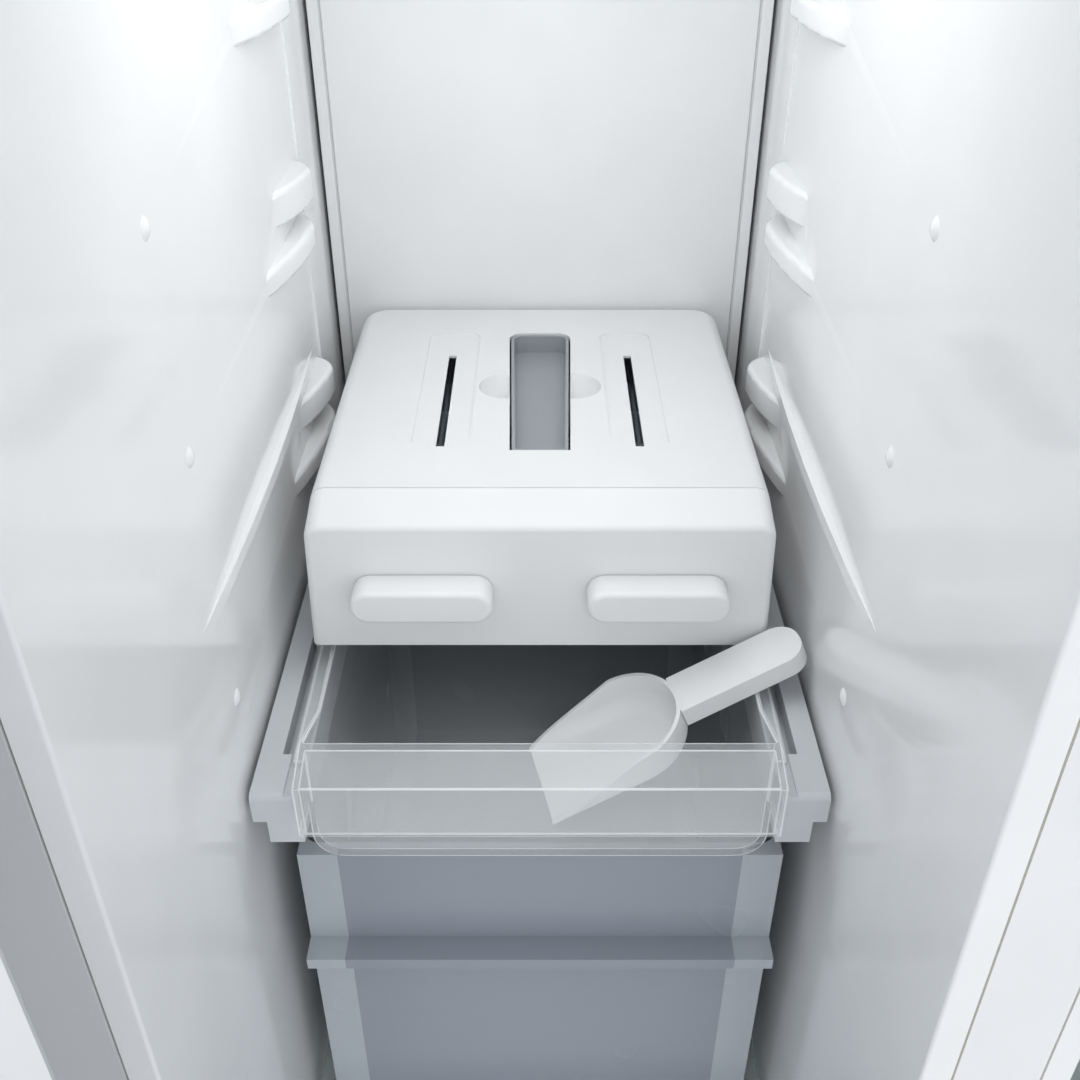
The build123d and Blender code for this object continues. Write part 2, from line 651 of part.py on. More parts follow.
with BuildPart() as freezer_liner:
    add_liner(FREEZER)
    fillet(mouth_edges(freezer_liner, FREEZER), MOUTH_RADIUS)
    add(wall_leaves)
    for side in (-1, 1):
        wall = FREEZER[0] if side < 0 else FREEZER[1]
        for level in FREEZER_SHELVES:
            peg = (wall, CASE_FRONT + PEG_SETBACK, level - GLASS - PEG_RADIUS - PEG_GAP)
            add_rod(peg, (wall - side * PEG_REACH, peg[1], peg[2]), PEG_RADIUS)
        for height in BUMP_HEIGHTS:
            add_bump(side, SHELF_HEIGHT + height)
        add_spindle(side)
        rail_ledge_reach = SKIRT_INSET + SHELF_SIDE_GAP - RAIL_LEDGE_GAP
        rail_ledge = sorted((wall, wall - side * rail_ledge_reach))
        rail_ledge_y = (CASE_FRONT + SHELF_FRONT + RAIL_LEDGE_SETBACK, SHELF_BACK)
        rail_under = SHELF_HEIGHT - RAIL_THICKNESS
        add_box(rail_ledge, rail_ledge_y, (rail_under - RAIL_LEDGE_THICKNESS, rail_under))
        flute = sorted((wall, wall - side * FLUTE_REACH))
        flute_y = (CASE_FRONT + FLUTE_FRONT, CASE_FRONT + FLUTE_FRONT + FLUTE_WIDTH)
        add_box(flute, flute_y, (SHELF_HEIGHT, INSIDE_TOP))
save(freezer_liner.part, "freezer_liner")

fridge_levels = (CRISPER_COVER_HEIGHT,) + FRIDGE_SHELF_HEIGHTS

with BuildPart() as fridge_liner:
    add_liner(FRIDGE)
    fillet(mouth_edges(fridge_liner, FRIDGE), MOUTH_RADIUS)
    for level in fridge_levels:
        ledge_y = (CASE_FRONT + SHELF_FRONT, INSIDE_BACK)
        ledge_z = (level - GLASS - FRIDGE_LEDGE_THICKNESS, level - GLASS)
        add_box((FRIDGE[0], FRIDGE[0] + FRIDGE_LEDGE_REACH), ledge_y, ledge_z)
        add_box((FRIDGE[1] - FRIDGE_LEDGE_REACH, FRIDGE[1]), ledge_y, ledge_z)
save(fridge_liner.part, "fridge_liner")

with BuildPart() as mullion_plate:
    mullion_limits = (FREEZER[1] + FLANGE_REACH, FRIDGE[0] - FLANGE_REACH)
    add_box(mullion_limits, (CASE_FRONT, SKIN_BACK), (BASE_LIP_TOP, WINDOW_TOP))
save(mullion_plate.part, "mullion_plate")

# Toe grille under the front of the case
with BuildPart() as toe_grille:
    grille_front = CASE_FRONT + TOE_GRILLE_SETBACK
    grille_x = (CASE_LEFT + TOE_GRILLE_SIDE_GAP, CASE_RIGHT - TOE_GRILLE_SIDE_GAP)
    grille_z = (TOE_GRILLE_LIFT, CASE_BOTTOM)
    add_box(grille_x, (grille_front, grille_front + TOE_GRILLE_THICKNESS), grille_z)
    slot_columns = int((span(grille_x) - TOE_SLOT_PITCH) // TOE_SLOT_PITCH)
    grille_face = Plane(
        origin=(middle(grille_x), grille_front, middle(grille_z)), x_dir=(1, 0, 0), z_dir=(0, -1, 0)
    )
    with BuildSketch(grille_face) as grille_slots:
        with GridLocations(TOE_SLOT_PITCH, TOE_SLOT_ROW_PITCH, slot_columns, 2):
            SlotOverall(TOE_SLOT_LENGTH, TOE_SLOT_HEIGHT)
    extrude(grille_slots.sketch, amount=-TOE_GRILLE_THICKNESS, mode=Mode.SUBTRACT)
save(toe_grille.part, "toe_grille")

# Levelling feet at the front: a pad on a stud that screws into its boss
for foot_x, foot_name in FOOT_PLACES:
    with BuildPart() as foot:
        with Locations((foot_x, 0, FOOT_PAD / 2)):
            Cylinder(FOOT_RADIUS, FOOT_PAD)
        chamfer(foot.edges().group_by(Axis.Z)[-1], FOOT_CHAMFER)
        add_rod((foot_x, 0, FOOT_PAD), (foot_x, 0, CASE_BOTTOM - STUD_TIP_GAP), STUD_RADIUS)
    save(foot.part, foot_name)

# Rollers at the back, each between the cheeks of a bracket that carries its axle
for roller_x, roller_name in ROLLER_PLACES:
    with BuildPart() as roller:
        ends = about(roller_x, ROLLER_WIDTH / 2)
        add_rod((ends[0], ROLLER_Y, ROLLER_RADIUS), (ends[1], ROLLER_Y, ROLLER_RADIUS), ROLLER_RADIUS)
        chamfer(roller.edges().filter_by(GeomType.CIRCLE), ROLLER_EDGE)
        bore = AXLE_RADIUS + RUNNING_FIT
        bore_start = (ends[0], ROLLER_Y, ROLLER_RADIUS)
        add_rod(bore_start, (ends[1], ROLLER_Y, ROLLER_RADIUS), bore, mode=Mode.SUBTRACT)
    save(roller.part, roller_name)

with BuildPart() as roller_brackets:
    for roller_x, _ in ROLLER_PLACES:
        room = about(roller_x, ROLLER_WIDTH / 2 + ROLLER_SIDE_GAP)
        cheek_y = about(ROLLER_Y, ROLLER_RADIUS - CHEEK_SIDE_MARGIN)
        cheek_z = (ROLLER_RADIUS - CHEEK_MARGIN, CASE_BOTTOM)
        add_box((room[0] - AXLE_CHEEK, room[0]), cheek_y, cheek_z)
        add_box((room[1], room[1] + AXLE_CHEEK), cheek_y, cheek_z)
        axle = grown(room, AXLE_CHEEK)
        add_rod((axle[0], ROLLER_Y, ROLLER_RADIUS), (axle[1], ROLLER_Y, ROLLER_RADIUS), AXLE_RADIUS)
save(roller_brackets.part, "roller_brackets")

# Hinge brackets, each with its pin: a pair on top of the case and a pair under the doors
hinge_sides = ((LEFT_HINGE_X, 1), (RIGHT_HINGE_X, -1))

with BuildPart() as upper_hinges:
    for hinge_x, inward in hinge_sides:
        plate = sorted((hinge_x - inward * HINGE_PLATE_MARGIN, hinge_x + inward * HINGE_PLATE_REACH))
        plate_y = (HINGE_Y - HINGE_PLATE_MARGIN, CASE_FRONT + HINGE_PLATE_TAIL)
        add_box(plate, plate_y, (CASE_TOP, CASE_TOP + HINGE_PLATE))
        pin_bottom = CASE_TOP - HINGE_PIN_LENGTH
        add_rod((hinge_x, HINGE_Y, pin_bottom), (hinge_x, HINGE_Y, CASE_TOP), HINGE_PIN_RADIUS)
save(upper_hinges.part, "upper_hinges")

with BuildPart() as lower_hinges:
    for hinge_x, inward in hinge_sides:
        plate = sorted((hinge_x - inward * HINGE_PLATE_MARGIN, hinge_x + inward * HINGE_PLATE_REACH))
        plate_y = (HINGE_Y - HINGE_PLATE_MARGIN, CASE_FRONT)
        plate_top = CASE_BOTTOM + HINGE_PLATE
        add_box(plate, plate_y, (CASE_BOTTOM, plate_top))
        tab_z = (CASE_BOTTOM, CASE_BOTTOM + HINGE_TAB_HEIGHT)
        add_box(plate, (CASE_FRONT - HINGE_PLATE, CASE_FRONT), tab_z)
        pin_top = plate_top + HINGE_PIN_LENGTH
        add_rod((hinge_x, HINGE_Y, plate_top), (hinge_x, HINGE_Y, pin_top), HINGE_PIN_RADIUS)
save(lower_hinges.part, "lower_hinges")

with BuildPart() as hinge_covers:
    for hinge_x, inward in hinge_sides:
        plate = sorted((hinge_x - inward * HINGE_PLATE_MARGIN, hinge_x + inward * HINGE_PLATE_REACH))
        room_x = grown(plate, HINGE_COVER_ROOM)
        room_y = grown((HINGE_Y - HINGE_PLATE_MARGIN, CASE_FRONT + HINGE_PLATE_TAIL), HINGE_COVER_ROOM)
        cap_z = (CASE_TOP, CASE_TOP + HINGE_COVER_HEIGHT)
        cap_x = grown(room_x, HINGE_COVER_WALL)
        cap_y = grown(room_y, HINGE_COVER_WALL)
        add_pillar(cap_x, cap_y, cap_z, HINGE_COVER_RADIUS)
        room_z = (CASE_TOP, CASE_TOP + HINGE_COVER_HEIGHT - HINGE_COVER_WALL)
        add_box(room_x, room_y, room_z, mode=Mode.SUBTRACT)
    chamfer(hinge_covers.edges().group_by(Axis.Z)[-1], HINGE_COVER_CHAMFER)
save(hinge_covers.part, "hinge_covers")


def swung_open(piece, hinge_x, hinge_side):
    """A door piece turned about its hinge from the closed place to the open stop."""
    return piece.rotate(Axis((hinge_x, HINGE_Y, 0), (0, 0, 1)), hinge_side * DOOR_REST_ANGLE)


def add_door_block(door, inset, back, z):
    """A door's body with its two front edges rounded, inset from the outside."""
    y = (DOOR_FRONT + inset, back)
    with BuildSketch(Plane.XY.offset(z[0])) as outline:
        with Locations((middle(door), middle(y))):
            Rectangle(span(door) - 2 * inset, span(y))
        fillet(outline.vertices().group_by(Axis.Y)[0], DOOR_EDGE_RADIUS - inset)
    extrude(outline.sketch, amount=span(z))


def door_bush_ends(hinge_x):
    """The start and end points of the bushes at the bottom and the top of a door."""
    return (
        ((hinge_x, HINGE_Y, DOOR_BOTTOM), (hinge_x, HINGE_Y, DOOR_BOTTOM + BUSH_LENGTH)),
        ((hinge_x, HINGE_Y, DOOR_TOP - BUSH_LENGTH), (hinge_x, HINGE_Y, DOOR_TOP)),
    )


for door_name, door, opening, hinge_x, hinge_side, bin_count in DOORS:
    door_z = (DOOR_BOTTOM, DOOR_TOP)
    inner_z = grown(door_z, -SHEET)
    dike_x = grown(opening, -DIKE_CLEARANCE)
    dike_z = grown((INSIDE_BOTTOM, INSIDE_TOP), -DIKE_CLEARANCE)
    dike_back = CASE_FRONT + DIKE_DEPTH

    with BuildPart() as hollow:
        add_door_block(door, SHEET, DOOR_BACK, inner_z)

    # Sheet skin with the bushes for the hinge pins
    with BuildPart() as door_skin:
        add_door_block(door, 0, DOOR_BACK, door_z)
        add(hollow.part, mode=Mode.SUBTRACT)
        for start, end in door_bush_ends(hinge_x):
            add_rod(start, end, BUSH_RADIUS)
            add_rod(start, end, HINGE_PIN_RADIUS + RUNNING_FIT, mode=Mode.SUBTRACT)
    save(swung_open(door_skin.part, hinge_x, hinge_side), f"{door_name}_door_skin")

    with BuildPart() as door_foam:
        add_door_block(door, SHEET, DOOR_BACK - LINER_WALL, inner_z)
        for start, end in door_bush_ends(hinge_x):
            add_rod(start, end, BUSH_RADIUS, mode=Mode.SUBTRACT)
    save(swung_open(door_foam.part, hinge_x, hinge_side), f"{door_name}_door_foam")

    # Inner panel with the raised dike that carries the bins
    with BuildPart() as door_liner:
        add_box(grown(door, -SHEET), (DOOR_BACK - LINER_WALL, DOOR_BACK), inner_z)
        add_pillar(dike_x, (DOOR_BACK, dike_back), dike_z, DIKE_RADIUS)
        pocket_x = grown(dike_x, -DIKE_WALL)
        pocket_z = grown(dike_z, -DIKE_WALL)
        add_box(pocket_x, (DOOR_BACK, dike_back), pocket_z, mode=Mode.SUBTRACT)
    save(swung_open(door_liner.part, hinge_x, hinge_side), f"{door_name}_door_liner")

    with BuildPart() as door_gasket:
        seal_y = (DOOR_BACK, CASE_FRONT - GASKET_GAP)
        seal_x = grown(opening, GASKET_INSET)
        seal_z = grown((INSIDE_BOTTOM, INSIDE_TOP), GASKET_INSET)
        add_box(grown(seal_x, GASKET_WIDTH), seal_y, grown(seal_z, GASKET_WIDTH))
        add_box(seal_x, seal_y, seal_z, mode=Mode.SUBTRACT)
    save(swung_open(door_gasket.part, hinge_x, hinge_side), f"{door_name}_door_gasket")

    # Bar handle on two posts, near the edge away from the hinge
    with BuildPart() as door_handle:
        free_edge = door[1] if hinge_side < 0 else door[0]
        bar_x = about(free_edge + hinge_side * HANDLE_EDGE_INSET, HANDLE_BAR_WIDTH / 2)
        bar_y = (DOOR_FRONT - HANDLE_STANDOFF - HANDLE_BAR_DEPTH, DOOR_FRONT - HANDLE_STANDOFF)
        bar_z = about(HANDLE_CENTRE, HANDLE_LENGTH / 2)
        add_pillar(bar_x, bar_y, bar_z, HANDLE_BAR_RADIUS)
        for post in (bar_z[0] + HANDLE_POST_INSET, bar_z[1] - HANDLE_POST_INSET):
            post_z = about(post, HANDLE_POST_LENGTH / 2)
            post_y = (DOOR_FRONT - HANDLE_STANDOFF - HANDLE_BAR_DEPTH / 2, DOOR_FRONT)
            add_box(grown(bar_x, -HANDLE_POST_SIDE_INSET), post_y, post_z)
    save(swung_open(door_handle.part, hinge_x, hinge_side), f"{door_name}_door_handle")

    # Open bins hung between the two sides of the dike
    with BuildPart() as door_bins:
        bin_y = (DOOR_BACK, CASE_FRONT + DOOR_BIN_REACH)
        bin_pitch = (span(pocket_z) - 2 * DOOR_BIN_MARGIN) / bin_count
        for number in range(bin_count):
            bin_floor = pocket_z[0] + DOOR_BIN_MARGIN + number * bin_pitch
            bin_z = (bin_floor, bin_floor + DOOR_BIN_HEIGHT)
            add_tub(pocket_x, bin_y, bin_z, DOOR_BIN_WALL, DOOR_BIN_RADIUS)
    save(swung_open(door_bins.part, hinge_x, hinge_side), f"{door_name}_door_bins")

# Rear cover of the freezer, with its sides turned back to the liner
with BuildPart() as evaporator_cover:
    cover_x = grown(FREEZER, -COVER_SIDE_GAP)
    cover_z = (STEP_TOP + COVER_SIDE_GAP, INSIDE_TOP - COVER_SIDE_GAP)
    add_box(cover_x, (COVER_FRONT, INSIDE_BACK), cover_z)
    room_x = grown(cover_x, -COVER_RETURN)
    room_z = grown(cover_z, -COVER_RETURN)
    add_box(room_x, (COVER_FRONT + COVER_THICKNESS, INSIDE_BACK), room_z, mode=Mode.SUBTRACT)
    for seam in (cover_x[0] + COVER_SEAM_INSET, cover_x[1] - COVER_SEAM_INSET):
        seam_y = (COVER_FRONT, COVER_FRONT + COVER_SEAM_DEPTH)
        add_box(about(seam, COVER_SEAM_WIDTH / 2), seam_y, cover_z, mode=Mode.SUBTRACT)
    vent_face = Plane(origin=(FREEZER_CENTRE, COVER_FRONT, AIR_FAN_Z), x_dir=(1, 0, 0), z_dir=(0, -1, 0))
    with BuildSketch(vent_face) as vents:
        with GridLocations(COVER_SLOT_LENGTH + COVER_SLOT_PITCH, COVER_SLOT_PITCH, 2, COVER_SLOT_ROWS):
            SlotOverall(COVER_SLOT_LENGTH, COVER_SLOT_HEIGHT)
    extrude(vents.sketch, amount=-COVER_THICKNESS, mode=Mode.SUBTRACT)
save(evaporator_cover.part, "evaporator_cover")

with BuildPart() as evaporator:
    coil_x = grown(FREEZER, -EVAPORATOR_SIDE_GAP)
    coil_base = STEP_TOP + EVAPORATOR_LIFT
    coil_y = (INSIDE_BACK - EVAPORATOR_DEPTH, INSIDE_BACK)
    coil_z = (coil_base, coil_base + EVAPORATOR_HEIGHT)
    add_finned_coil(coil_x, coil_y, coil_z, EVAPORATOR_FINS, EVAPORATOR_ROWS)
save(evaporator.part, "evaporator")

# Fan behind the rear cover, in front of a motor fixed to the liner
air_motor_face = INSIDE_BACK - AIR_MOTOR_LENGTH
air_fan_back = air_motor_face - FAN_MOTOR_GAP

with BuildPart() as evaporator_fan:
    add_fan((FREEZER_CENTRE, air_fan_back - FAN_HUB_LENGTH / 2, AIR_FAN_Z), (0, 1, 0), AIR_FAN_RADIUS)
save(evaporator_fan.part, "evaporator_fan")

# Machine compartment: compressor on rubber mounts, condenser, fan, drain pan and louvred cover
machine_floor = CASE_BOTTOM + SHEET
machine_middle = (MACHINE_FRONT + CASE_BACK) / 2
compressor_x = CASE_RIGHT - COMPRESSOR_FROM_SIDE
plate_z = (machine_floor + MOUNT_HEIGHT, machine_floor + MOUNT_HEIGHT + COMPRESSOR_PLATE)

with BuildPart() as compressor:
    add_box(
        about(compressor_x, COMPRESSOR_PLATE_WIDTH / 2),
        about(machine_middle, COMPRESSOR_PLATE_DEPTH / 2),
        plate_z,
    )
    with Locations((compressor_x, machine_middle, plate_z[1] + COMPRESSOR_HEIGHT / 2)):
        Cylinder(COMPRESSOR_RADIUS, COMPRESSOR_HEIGHT)
    fillet(compressor.edges().filter_by(GeomType.CIRCLE).group_by(Axis.Z)[-1], COMPRESSOR_DOME)
save(compressor.part, "compressor")

with BuildPart() as compressor_mounts:
    mount_spread = (COMPRESSOR_PLATE_WIDTH - 2 * MOUNT_INSET, COMPRESSOR_PLATE_DEPTH - 2 * MOUNT_INSET)
    with Locations((compressor_x, machine_middle, machine_floor + MOUNT_HEIGHT / 2)):
        with GridLocations(*mount_spread, 2, 2):
            Cylinder(MOUNT_RADIUS, MOUNT_HEIGHT)
save(compressor_mounts.part, "compressor_mounts")

with BuildPart() as condenser:
    condenser_x = (CASE_LEFT + CONDENSER_FROM_SIDE, CASE_LEFT + CONDENSER_FROM_SIDE + CONDENSER_WIDTH)
    condenser_y = about(machine_middle, CONDENSER_DEPTH / 2)
    condenser_z = (machine_floor, machine_floor + CONDENSER_HEIGHT)
    add_finned_coil(condenser_x, condenser_y, condenser_z, CONDENSER_FINS, CONDENSER_ROWS)
save(condenser.part, "condenser")

# The two fan motors with their shafts: one on the freezer's back wall, one on a post by the condenser
condenser_fan_x = condenser_x[1] + CONDENSER_FAN_GAP
condenser_fan_z = machine_floor + CONDENSER_FAN_HEIGHT
condenser_motor_face = condenser_fan_x + FAN_HUB_LENGTH / 2 + FAN_MOTOR_GAP

with BuildPart() as fan_motors:
    motor_back = (FREEZER_CENTRE, INSIDE_BACK, AIR_FAN_Z)
    add_rod(motor_back, (FREEZER_CENTRE, air_motor_face, AIR_FAN_Z), AIR_MOTOR_RADIUS)
    add_rod(motor_back, (FREEZER_CENTRE, air_fan_back - FAN_HUB_LENGTH, AIR_FAN_Z), FAN_SHAFT_RADIUS)
    motor_end = (condenser_motor_face + CONDENSER_MOTOR_LENGTH, machine_middle, condenser_fan_z)
    add_rod((condenser_motor_face, machine_middle, condenser_fan_z), motor_end, CONDENSER_MOTOR_RADIUS)
    shaft_tip = (condenser_fan_x - FAN_HUB_LENGTH / 2, machine_middle, condenser_fan_z)
    add_rod(motor_end, shaft_tip, FAN_SHAFT_RADIUS)
    post_x = (condenser_motor_face, condenser_motor_face + CONDENSER_MOTOR_LENGTH)
    add_box(post_x, about(machine_middle, MOTOR_POST_WIDTH / 2), (machine_floor, condenser_fan_z))
save(fan_motors.part, "fan_motors")

with BuildPart() as condenser_fan:
    add_fan((condenser_fan_x, machine_middle, condenser_fan_z), (1, 0, 0), CONDENSER_FAN_RADIUS)
save(condenser_fan.part, "condenser_fan")

with BuildPart() as drain_pan:
    pan_left = motor_end[0] + DRAIN_PAN_LEFT_GAP
    pan_right = compressor_x - COMPRESSOR_PLATE_WIDTH / 2 - DRAIN_PAN_RIGHT_GAP
    pan_y = about(machine_middle, DRAIN_PAN_DEPTH / 2)
    pan_z = (machine_floor, machine_floor + DRAIN_PAN_HEIGHT)
    add_tub((pan_left, pan_right), pan_y, pan_z, DRAIN_PAN_WALL, DRAIN_PAN_RADIUS)
save(drain_pan.part, "drain_pan")

inlet_x = CASE_LEFT + INLET_FROM_SIDE
inlet_z = machine_floor + INLET_LIFT

with BuildPart() as machine_cover:
    louvre_z = (machine_floor, MACHINE_TOP)
    add_box(INNER_CASE, (CASE_BACK - SHEET, CASE_BACK), louvre_z)
    louvre_face = Plane(
        origin=(middle(INNER_CASE), CASE_BACK, middle(louvre_z)), x_dir=(1, 0, 0), z_dir=(0, 1, 0)
    )
    louvre_columns = int((CASE_WIDTH - 2 * (INLET_FROM_SIDE + INLET_WIDTH)) // MACHINE_SLOT_COLUMN)
    with BuildSketch(louvre_face) as louvres:
        with GridLocations(MACHINE_SLOT_COLUMN, MACHINE_SLOT_PITCH, louvre_columns, MACHINE_SLOT_ROWS):
            SlotOverall(MACHINE_SLOT_LENGTH, MACHINE_SLOT_HEIGHT)
    extrude(louvres.sketch, amount=-SHEET, mode=Mode.SUBTRACT)
    hole_x = about(inlet_x, INLET_WIDTH / 2)
    hole_z = about(inlet_z, INLET_HEIGHT / 2)
    add_box(hole_x, (CASE_BACK - SHEET, CASE_BACK), hole_z, mode=Mode.SUBTRACT)
save(machine_cover.part, "machine_cover")

# Power inlet: a shallow cup set in the machine cover
with BuildPart() as power_inlet:
    cup_y = (CASE_BACK - INLET_DEPTH, CASE_BACK)
    add_box(about(inlet_x, INLET_WIDTH / 2), cup_y, about(inlet_z, INLET_HEIGHT / 2))
    cup_room = about(inlet_x, INLET_WIDTH / 2 - INLET_WALL), (cup_y[0] + INLET_WALL, CASE_BACK)
    add_box(*cup_room, about(inlet_z, INLET_HEIGHT / 2 - INLET_WALL), mode=Mode.SUBTRACT)
save(power_inlet.part, "power_inlet")

# Ice shelf: a frame open at the front, with a groove for the ice maker and a ledge for the bin
with BuildPart() as ice_shelf_frame:
    frame_y = (CASE_FRONT + SHELF_FRONT, SHELF_BACK)
    rail_z = (SHELF_HEIGHT - RAIL_THICKNESS, SHELF_HEIGHT)
    skirt_z = (rail_z[0] - SKIRT_DROP, rail_z[0])
    add_box(about(FREEZER_CENTRE, SHELF_HALF), frame_y, rail_z)
    add_box(about(FREEZER_CENTRE, SHELF_HALF - SKIRT_INSET), frame_y, skirt_z)
    front_face = ice_shelf_frame.faces().filter_by(Axis.Y).group_by(Axis.Y)[0].sort_by(Axis.Z)[-1]
    fillet(front_face.edges().group_by(Axis.Z)[-1], RAIL_RADIUS)
    bin_room_y = (frame_y[0], SHELF_BACK - RAIL_REAR_BAR)
    bin_room_z = (skirt_z[0], SHELF_HEIGHT)
    add_box(about(FREEZER_CENTRE, RAIL_INNER), bin_room_y, bin_room_z, mode=Mode.SUBTRACT)
    for side in (-1, 1):
        ledge_x = sorted((FREEZER_CENTRE + side * RAIL_INNER, FREEZER_CENTRE + side * GROOVE[0]))
        add_box(ledge_x, bin_room_y, (SLIDE_LEDGE, SHELF_HEIGHT), mode=Mode.SUBTRACT)
        groove_x = sorted((FREEZER_CENTRE + side * GROOVE[0], FREEZER_CENTRE + side * GROOVE[1]))
        groove_y = (frame_y[0] + GROOVE_FRONT_GAP, SHELF_BACK)
        add_box(groove_x, groove_y, (SHELF_HEIGHT - GROOVE_DEPTH, SHELF_HEIGHT), mode=Mode.SUBTRACT)
save(ice_shelf_frame.part, "ice_shelf_frame")

# Ice bin: a round bottomed tub that hangs on two flanges, with a hooded pull at the front
with BuildPart() as ice_bin:
    tub_y = (CASE_FRONT + BIN_FRONT, BIN_BACK)
    tub_z = (SHELF_HEIGHT - BIN_DEPTH_BELOW, SHELF_HEIGHT + BIN_RIM)
    rise = SHELF_HEIGHT + BIN_FRONT_RISE
    with BuildSketch(Plane.XZ.offset(-tub_y[1])) as tub_section:
        with Locations((FREEZER_CENTRE, (tub_z[0] + rise) / 2)):
            Rectangle(2 * BIN_HALF, rise - tub_z[0])
        fillet(tub_section.vertices().group_by(Axis.Y)[0], BIN_RADIUS)
    extrude(tub_section.sketch, amount=span(tub_y))
    with BuildSketch(Plane.XZ.offset(-(tub_y[1] - BIN_WALL))) as room_section:
        with Locations((FREEZER_CENTRE, (tub_z[0] + BIN_WALL + rise) / 2)):
            Rectangle(2 * (BIN_HALF - BIN_WALL), rise - tub_z[0] - BIN_WALL)
        fillet(room_section.vertices().group_by(Axis.Y)[0], BIN_RADIUS - BIN_WALL)
    extrude(room_section.sketch, amount=span(tub_y) - 2 * BIN_WALL, mode=Mode.SUBTRACT)
    shoulder = tub_y[0] + BIN_WALL + BIN_SHOULDER
    above_rim = (
        (tub_y[0] + BIN_WALL, rise),
        (shoulder, tub_z[1]),
        (tub_y[1], tub_z[1]),
        (tub_y[1], rise),
    )
    add_across(above_rim, about(FREEZER_CENTRE, BIN_HALF), mode=Mode.SUBTRACT)
    pull_y = (CASE_FRONT + PULL_FRONT, tub_y[0])
    ridge = SHELF_HEIGHT + PULL_RIDGE
    pull_bottom = SHELF_HEIGHT - PULL_DROP
    hood = ((pull_y[1], pull_bottom), (pull_y[0], pull_bottom), (pull_y[0], ridge), (pull_y[1], rise))
    add_across(hood, about(FREEZER_CENTRE, BIN_HALF))
    hollow_front = pull_y[0] + BIN_WALL
    hood_room = (
        (pull_y[1], pull_bottom),
        (hollow_front, pull_bottom),
        (hollow_front, ridge - BIN_WALL),
        (pull_y[1], rise - BIN_WALL),
    )
    add_across(hood_room, about(FREEZER_CENTRE, BIN_HALF - BIN_WALL), mode=Mode.SUBTRACT)
    flange_z = (SLIDE_LEDGE + BIN_FLANGE_GAP, SLIDE_LEDGE + BIN_FLANGE_GAP + BIN_FLANGE_THICKNESS)
    flange_y = (tub_y[0] + BIN_FLANGE_SETBACK, BIN_BACK)
    for side in (-1, 1):
        flange_ends = (BIN_HALF - BIN_WALL, BIN_HALF + BIN_FLANGE_WIDTH)
        flange_x = sorted(FREEZER_CENTRE + side * end for end in flange_ends)
        add_box(flange_x, flange_y, flange_z)
save(ice_bin.part, "ice_bin")

# Ice scoop: tip on the bin's floor, underside of the handle on the bin's right rim
tip = Vector(FREEZER_CENTRE + SCOOP_TIP_SIDE, CASE_FRONT + SCOOP_TIP_SETBACK, BIN_FLOOR + SCOOP_REST_GAP)
heading = math.radians(SCOOP_HEADING)
edge_shift = SCOOP_HANDLE_WIDTH / 2 * math.sin(heading)
rim_run = (BIN_HALF - BIN_WALL - SCOOP_TIP_SIDE - edge_shift) / math.cos(heading)
rim_rise = SHELF_HEIGHT + BIN_RIM + SCOOP_REST_GAP - tip.Z
handle_under = SCOOP_BOWL_DEPTH - SCOOP_HANDLE_THICKNESS
pitch = math.acos(handle_under / math.hypot(rim_run, rim_rise)) - math.atan2(rim_run, rim_rise)
along = Vector(
    math.cos(pitch) * math.cos(heading), math.cos(pitch) * math.sin(heading), math.sin(pitch)
)
upward = Vector(-math.sin(pitch) * math.cos(heading), -math.sin(pitch) * math.sin(heading), math.cos(pitch))
scoop_base = Plane(origin=tip, x_dir=along, z_dir=upward)


def bowl_form(inset):
    """The scoop's bowl, or the room inside it: rounded at the back and along its bottom edges."""
    half = SCOOP_BOWL_WIDTH / 2 - inset
    back = SCOOP_BOWL_LENGTH - inset
    with BuildPart() as form:
        with BuildSketch(scoop_base.offset(inset)):
            with BuildLine():
                Polyline((back - half, half), (0, half), (0, -half), (back - half, -half))
                ThreePointArc((back - half, -half), (back, 0), (back - half, half))
            make_face()
        extrude(amount=SCOOP_BOWL_DEPTH - inset)
        bottom = form.faces().sort_by(Axis(scoop_base.origin, scoop_base.z_dir))[0]
        bottom_edges = bottom.edges().sort_by(Axis(scoop_base.origin, scoop_base.x_dir))
        fillet(bottom_edges[1:], SCOOP_BOWL_RADIUS - inset)
    return form.part


scoop_outside = bowl_form(0)
scoop_inside = bowl_form(SCOOP_WALL)

with BuildPart() as ice_scoop:
    add(scoop_outside)
    add(scoop_inside, mode=Mode.SUBTRACT)
    lip_face = Plane(origin=scoop_base.origin, x_dir=scoop_base.x_dir, z_dir=-scoop_base.y_dir)
    with BuildSketch(lip_face.offset(-SCOOP_BOWL_WIDTH)) as lip_cut:
        with BuildLine():
            lip_end = SCOOP_BOWL_LENGTH - SCOOP_BOWL_WIDTH / 2
            Polyline(
                (0, SCOOP_LIP),
                (lip_end, SCOOP_BOWL_DEPTH),
                (0, SCOOP_BOWL_DEPTH),
                close=True,
            )
        make_face()
    extrude(lip_cut.sketch, amount=2 * SCOOP_BOWL_WIDTH, mode=Mode.SUBTRACT)
    with BuildSketch(scoop_base.offset(handle_under)) as handle_outline:
        grip_start = SCOOP_BOWL_LENGTH - SCOOP_WALL
        with Locations(((grip_start + SCOOP_LENGTH) / 2, 0)):
            Rectangle(SCOOP_LENGTH - grip_start, SCOOP_HANDLE_WIDTH)
        fillet(handle_outline.vertices().group_by(Axis.X)[-1], SCOOP_HANDLE_RADIUS)
    extrude(handle_outline.sketch, amount=SCOOP_HANDLE_THICKNESS)
save(ice_scoop.part, "ice_scoop")


